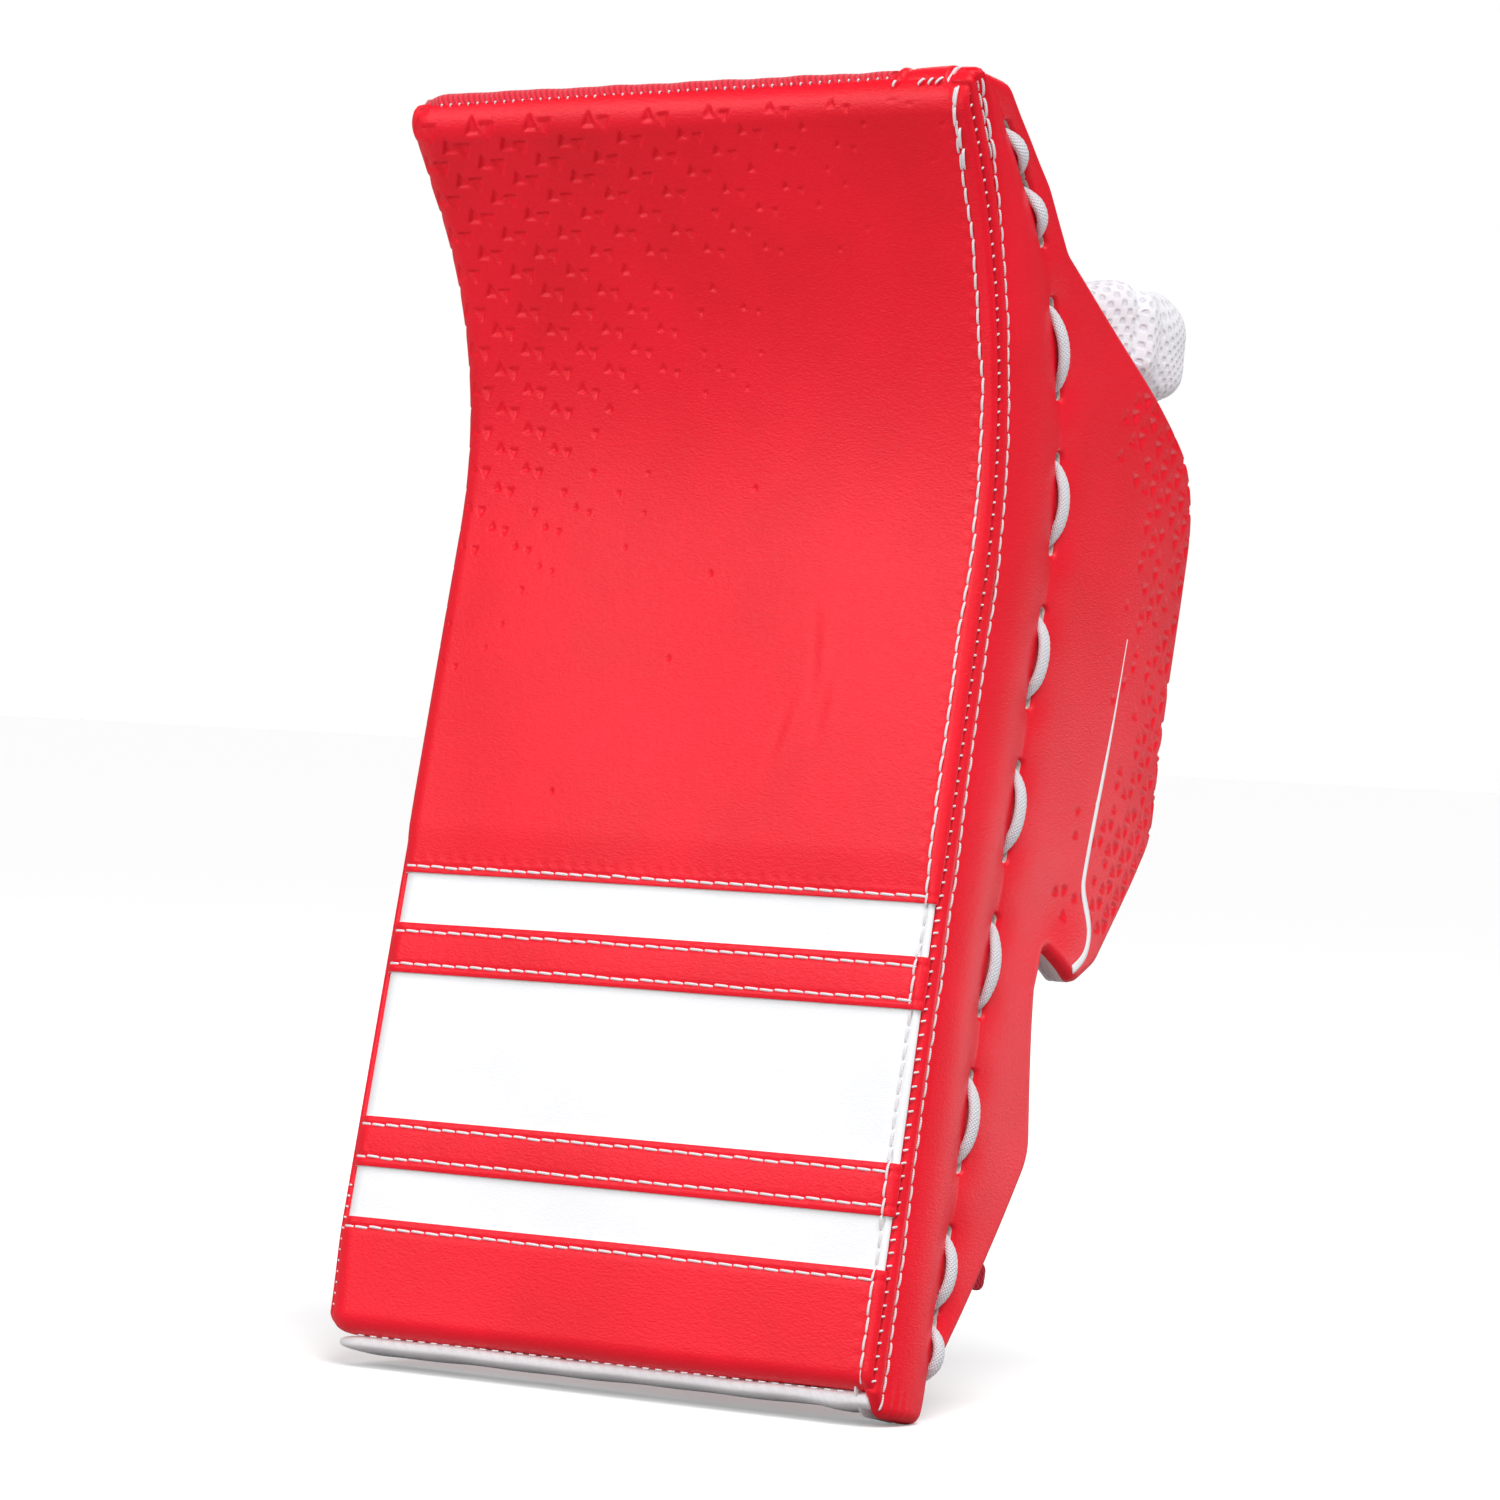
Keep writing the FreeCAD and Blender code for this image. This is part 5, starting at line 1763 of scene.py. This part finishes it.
def stall_piece(cad_node, bend_low, bend_high):
    """One finger segment: cloth on the back of the finger, suede on the palm side, a seam between."""
    low, high = upright_box(cad_node)
    piece = cad_copy(cad_node + "_cloth", cad_node, GLOVE_LEATHER, PALM)
    remesh(piece, 1.15, 3)
    seam_y = low[1] + 0.62 * (high[1] - low[1])

    def folds(points, normals):
        y, z = points[:, 1], points[:, 2]
        upright_side = np.hypot(normals[:, 0], normals[:, 1]) > 0.5
        joint = bell(z - bend_high, 5.0) + bell(z - bend_low, 5.0)
        crumple = 0.35 * joint * np.sin(z * 1.5 + y * 0.15)
        return upright_side * (crumple - 0.55 * bell(y - seam_y, 0.8) + wrinkles(points, 0.16))

    press(piece, folds)
    paint(piece, lambda centres: centres[:, 1] > seam_y)
    finish_piece(piece, cad_node, [cad_node])
    z = np.linspace(low[2] + (6.0 if "tip" in cad_node else 1.0), high[2] - 1.0, 40)
    for number, (x, way) in enumerate(((low[0], -1.0), (high[0], 1.0))):
        line = np.stack([np.full(z.shape, x), np.full(z.shape, seam_y + 1.2), z], -1)
        stitches(
            f"{cad_node}_stitches_{number}", line, np.tile([way, 0.0, 0.0], (len(z), 1)), 2.6, 0.24,
            wobble=0.04, body=cad_node, slot="glove_leather",
        )


def sleeve(name, box_low, box_high, top, bottom):
    """Stretch cloth round a finger joint, from top to bottom."""
    low, high = box_low[:2] - 0.5, box_high[:2] + 0.5
    middle = (low + high) / 2
    start = (low[0] + 12.0, low[1])
    corners = [start, (high[0], low[1]), high, (low[0], high[1]), low, start]
    outline = resample(rounded_corners(corners, [7.6] * 4, 0.8), 65)[:-1]
    outward = unit(outline - middle)
    heights = np.linspace(top, bottom, 34)
    rings = []
    for inset, rows in ((0.0, heights), (0.45, heights[::-1])):
        for z in rows:
            ease = 0.35 * np.cos((z - bottom) / (top - bottom) * math.pi * 7)
            ends = smoothstep(0.0, 1.5, top - z) * smoothstep(0.0, 1.5, z - bottom)
            place = outline + outward * (ease * ends * 0.5 + 0.25 * ends - inset)
            rings.append(np.column_stack([place, np.full(len(place), z)]))
    index = np.arange(len(rings) * len(outline)).reshape(len(rings), len(outline))
    following = np.roll(index, -1, axis=0)
    faces = np.stack([index, np.roll(index, -1, axis=1), np.roll(following, -1, axis=1), following], -1)
    piece = new_piece(name, np.concatenate(rings), faces.reshape(-1, 4).tolist(), [GLOVE_CLOTH])
    make_outward(piece)
    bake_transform(piece)


FINGERS = ("index_finger", "middle_finger", "ring_finger", "little_finger")
FAR_BELOW = -100.0          # height of a bend that a fingertip doesn't have


def make_fingers():
    """Four fingers and the thumb: base and tip stalls, and stretch cloth round both joints."""
    for finger in FINGERS + ("thumb",):
        base, tip = finger + "_base", finger + "_tip"
        low, high = upright_box(base)
        tip_top = upright_box(tip)[1][2]
        stall_piece(base, low[2], high[2])
        stall_piece(tip, FAR_BELOW, tip_top)
        sleeve(finger + "_knuckle_cloth", low, high, low[2] + 6.0, tip_top - 6.0)
        if finger == "thumb":
            sleeve("thumb_root_sleeve", low, high, high[2] + 7.0, high[2] - 6.0)
        else:
            sleeve(finger + "_root_cloth", low, high, high[2] + 8.0, high[2] - 6.0)
            finger_pad(finger)
    root = cad_copy("thumb_root_cloth", "thumb_root", GLOVE_LEATHER)
    remesh(root, 1.3, 3)
    press(root, lambda points, normals: wrinkles(points, 0.2))
    finish_piece(root, nodes=["thumb_root"])


def finger_pad(finger):
    """The small cushion on the back of a finger, quilted across."""
    cad_node = finger + "_pad"
    low, high = upright_box(cad_node)
    piece = cad_copy(cad_node + "_cushion", cad_node, GLOVE_LEATHER)
    remesh(piece, 1.3, 4)

    def quilt(points, normals):
        back = np.clip(-normals[:, 1], 0.0, 1.0)
        return back * (0.5 - 1.6 * bell(channel_seams(points, low, high, 3), 1.6)) + 0.3

    press(piece, quilt)
    finish_piece(piece, finger + "_base", [cad_node])


# ---------------------------------------------------------------- straps, tabs and hidden layers

def band_piece(name, cad_node, thin, ridges, made, body=ROOT):
    """Flat webbing in place of a CAD box that is thin along one axis, with rounded edges and ribs."""
    low, high = upright_box(cad_node)
    axes = [axis for axis in range(3) if axis != thin]
    u, v = (np.linspace(low[a], high[a], max(int((high[a] - low[a]) / 0.7), 6)) for a in axes)
    u, v = np.meshgrid(u, v)
    gap = np.minimum(v - low[axes[1]], high[axes[1]] - v)
    half = (high[thin] - low[thin]) / 2
    ribs = ridges * np.sin(2 * math.pi * u / 1.9) * smoothstep(0.8, 1.8, gap)
    drop = np.minimum(rounding(gap, half * 0.9), half * 0.85)
    faces = []
    for side in (1.0, -1.0):
        grid = np.zeros(u.shape + (3,))
        grid[..., axes[0]] = u
        grid[..., axes[1]] = v
        grid[..., thin] = (low[thin] + high[thin]) / 2 + side * (half - ridges - drop + ribs)
        faces.append(grid)
    finish_piece(slab(name, *faces, [made]), body, [cad_node])


def make_strap():
    """The wrist strap: sewn webbing with hook and loop patches, a moulded pull and its anchor."""
    strap, black = "wrist_strap", "webbing_black"
    band_piece("strap_webbing_band", "strap_webbing", 1, 0.12, WEBBING, strap)
    low, high = upright_box("strap_webbing")
    x = np.linspace(low[0] + 6.0, high[0] - 3.0, 80)
    outward = np.tile([0.0, 1.0, 0.0], (len(x), 1))
    for number, z in enumerate((low[2] + 2.0, high[2] - 2.0)):
        line = np.stack([x, np.full(x.shape, high[1] - 0.05), np.full(x.shape, z)], -1)
        stitches(
            f"strap_stitches_{number}", line, outward, 3.0, 0.22, wobble=0.04,
            made=WEBBING, body=strap, slot=black,
        )
    band_piece("strap_hook_patch_pile", "strap_hook_patch", 1, 0.08, LOOP, strap)
    band_piece("strap_loop_patch_pile", "strap_loop_patch", 1, 0.08, LOOP)
    pull = cad_copy("strap_pull", "strap_pull_end", PULL_PLASTIC)
    remesh(pull, 0.6, 3)
    left = upright_box("strap_pull_end")[0][0]

    def ribs(points, normals):
        return 0.35 * np.abs(normals[:, 1]) * np.sin(2 * math.pi * (points[:, 0] - left) / 3.2)

    press(pull, ribs)
    finish_piece(pull, strap, ["strap_pull_end"])
    band_piece("strap_anchor_band", "strap_anchor", 0, 0.12, WEBBING)


def make_pull_tab():
    """The woven tab behind the side panel: a doubled tape with a rounded fold at its end."""
    low, high = upright_box("pull_tab")
    middle = (low + high) / 2
    half_height = (high[2] - low[2]) / 2
    round_end = 0.95 * half_height
    across, height = squared_circle(20, 0.6, 0.5)
    rings = []
    for y in np.linspace(low[1], high[1], 50):
        from_end = max(high[1] - y, 0.0)
        fullness = math.sqrt(max(0.03, 1 - (max(3.0 - from_end, 0.0) / 3.0) ** 2))
        half_x = (0.85 + 0.5 * float(bell(from_end - 2.4, 1.8))) * fullness + 0.06 * math.sin(y * 4.0)
        half_z = half_height * math.sqrt(max(0.05, 1 - (max(round_end - from_end, 0.0) / round_end) ** 2))
        ring = [middle[0] + half_x * across, np.full(across.shape, y), middle[2] + half_z * height]
        rings.append(np.stack(ring, -1))
    piece = tube("pull_tab_tape", np.array(rings), [RED_TAPE])
    finish_piece(piece, "pull_tab", ["pull_tab"])
    band_piece("pull_tab_seam_tape", "pull_tab_seam", 0, 0.08, RED_TAPE)


def make_attachment_panel():
    """The stiff woven panel that carries the glove on the board's back."""
    band_piece("attachment_panel_cloth", "attachment_panel", 1, 0.05, GLOVE_CLOTH)


def dress_lacing_strip():
    """The strip that the lace ties keeps its CAD shape and takes woven cloth."""
    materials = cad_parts["lacing_strip"].data.materials
    materials.clear()
    materials.append(RED_NYLON)


# ---------------------------------------------------------------- studio

def make_camera():
    """The camera, round the aim point at the chosen azimuth and height, rolled a little."""
    forward = Vector((
        -math.sin(CAMERA_AZIMUTH) * math.cos(CAMERA_ELEVATION),
        math.cos(CAMERA_AZIMUTH) * math.cos(CAMERA_ELEVATION),
        -math.sin(CAMERA_ELEVATION),
    ))
    level = Vector((math.cos(CAMERA_AZIMUTH), math.sin(CAMERA_AZIMUTH), 0.0))
    upward = level.cross(forward)
    right = level * math.cos(CAMERA_ROLL) + upward * math.sin(CAMERA_ROLL)
    above = right.cross(forward)
    camera = new_object("camera", bpy.data.cameras.new("camera"))
    camera.data.lens = CAMERA_LENS
    camera.data.sensor_width = 36.0
    camera.matrix_world = Matrix((
        (right.x, above.x, -forward.x, 0.0),
        (right.y, above.y, -forward.y, 0.0),
        (right.z, above.z, -forward.z, 0.0),
        (0.0, 0.0, 0.0, 1.0),
    ))
    camera.location = CAMERA_AIM - forward * CAMERA_DISTANCE
    bpy.context.scene.camera = camera


def make_floor():
    """Pale paper under and far behind the object, kept white for the camera and dim in reflections."""
    mesh = bpy.data.meshes.new("floor")
    height = CAD_BOX[0].z - FLOOR_GAP
    corners = [(FLOOR_REACH * x, FLOOR_REACH * y, height) for x, y in ((-1, -1), (1, -1), (1, 1), (-1, 1))]
    mesh.from_pydata(corners, [], [(0, 1, 2, 3)])
    paper = material("floor_paper", (0.92, 0.92, 0.92), 0.9, Specular_IOR_Level=0.0)
    grain = noise(paper, millimetres(paper), 3.0, 3.0)
    seen = node(paper, "ShaderNodeLightPath").outputs["Is Camera Ray"]
    bright = span(paper, grain, 0.0, 1.0, 0.92, 0.94)
    shade = maths(paper, "MULTIPLY", bright, span(paper, seen, 0.0, 1.0, FLOOR_BOUNCE, 1.0))
    tint(paper, shade, (0.0, 0.0, 0.0), (1.0, 1.0, 1.0))
    shader = paper.node_tree.nodes["Principled BSDF"]
    shader.inputs["Emission Color"].default_value = (1.0, 1.0, 1.0, 1.0)
    paper.node_tree.links.new(maths(paper, "MULTIPLY", seen, FLOOR_GLOW), shader.inputs["Emission Strength"])
    mesh.materials.append(paper)
    new_object("floor", mesh)


def light_direction(azimuth, elevation):
    """Unit vector towards a light at these angles in degrees, azimuth 0 being in front of the face."""
    turn, tip = math.radians(azimuth), math.radians(elevation)
    return Vector((math.sin(turn) * math.cos(tip), -math.cos(turn) * math.cos(tip), math.sin(tip)))


def softbox(name, azimuth, elevation, distance, size, radiance, height=None, aim=CAMERA_AIM):
    """A rectangular soft light aimed at the object, as bright to look at as radiance says."""
    direction = light_direction(azimuth, elevation)
    lamp = bpy.data.lights.new(name, "AREA")
    lamp.shape = "RECTANGLE"
    lamp.size = size
    lamp.size_y = height or size
    lamp.energy = radiance * math.pi * lamp.size * lamp.size_y
    light = new_object(name, lamp)
    light.location = aim + direction * distance
    light.rotation_mode = "QUATERNION"
    light.rotation_quaternion = direction.to_track_quat("Z", "Y")


def sun_light(name, azimuth, elevation, softness, strength):
    """Even light from far away; softness is its width in degrees."""
    lamp = bpy.data.lights.new(name, "SUN")
    lamp.angle = math.radians(softness)
    lamp.energy = strength
    light = new_object(name, lamp)
    light.rotation_mode = "QUATERNION"
    light.rotation_quaternion = (-light_direction(azimuth, elevation)).to_track_quat("-Z", "Y")


def make_light():
    """A white backdrop that lights gently, a broad key from above right and a softbox in front."""
    world = bpy.data.worlds.new("studio")
    world.use_nodes = True
    tree = world.node_tree
    backdrop = tree.nodes["Background"]
    backdrop.inputs["Color"].default_value = (1.0, 1.0, 1.0, 1.0)
    seen = tree.nodes.new("ShaderNodeLightPath").outputs["Is Camera Ray"]
    strength = tree.nodes.new("ShaderNodeMapRange")
    strength.inputs["To Min"].default_value = WORLD_LIGHT
    strength.inputs["To Max"].default_value = 1.0
    tree.links.new(seen, strength.inputs["Value"])
    tree.links.new(strength.outputs[0], backdrop.inputs["Strength"])
    bpy.context.scene.world = world
    sun_light("key", 58.0, 56.0, 36.0, 2.35)
    softbox("front", -32.0, 24.0, 1.8, 0.85, 6.0)
    softbox("fill", 12.0, 7.0, 1.9, 0.75, 3.2)
    softbox("right", 96.0, 24.0, 1.6, 0.7, 1.6)
    softbox("behind", 205.0, 40.0, 2.0, 1.0, 2.4)
    softbox("low_right", 145.0, 0.0, 0.55, 0.50, 2.2, height=0.17, aim=LOW_RIGHT_AIM)
    bpy.context.scene.view_settings.view_transform = "Standard"


make_camera()
make_floor()
make_light()
make_face()
face_stitches()
seam_threads()
make_side_wall()
make_core()
make_stiffener()
make_back_skin()
make_top_strip()
make_corner_tab()
make_bottom_cap()
make_side_panel()
make_lace()
make_cuff()
make_pads()
make_gussets()
make_palm()
make_grip()
make_fingers()
make_strap()
make_pull_tab()
make_attachment_panel()
dress_lacing_strip()
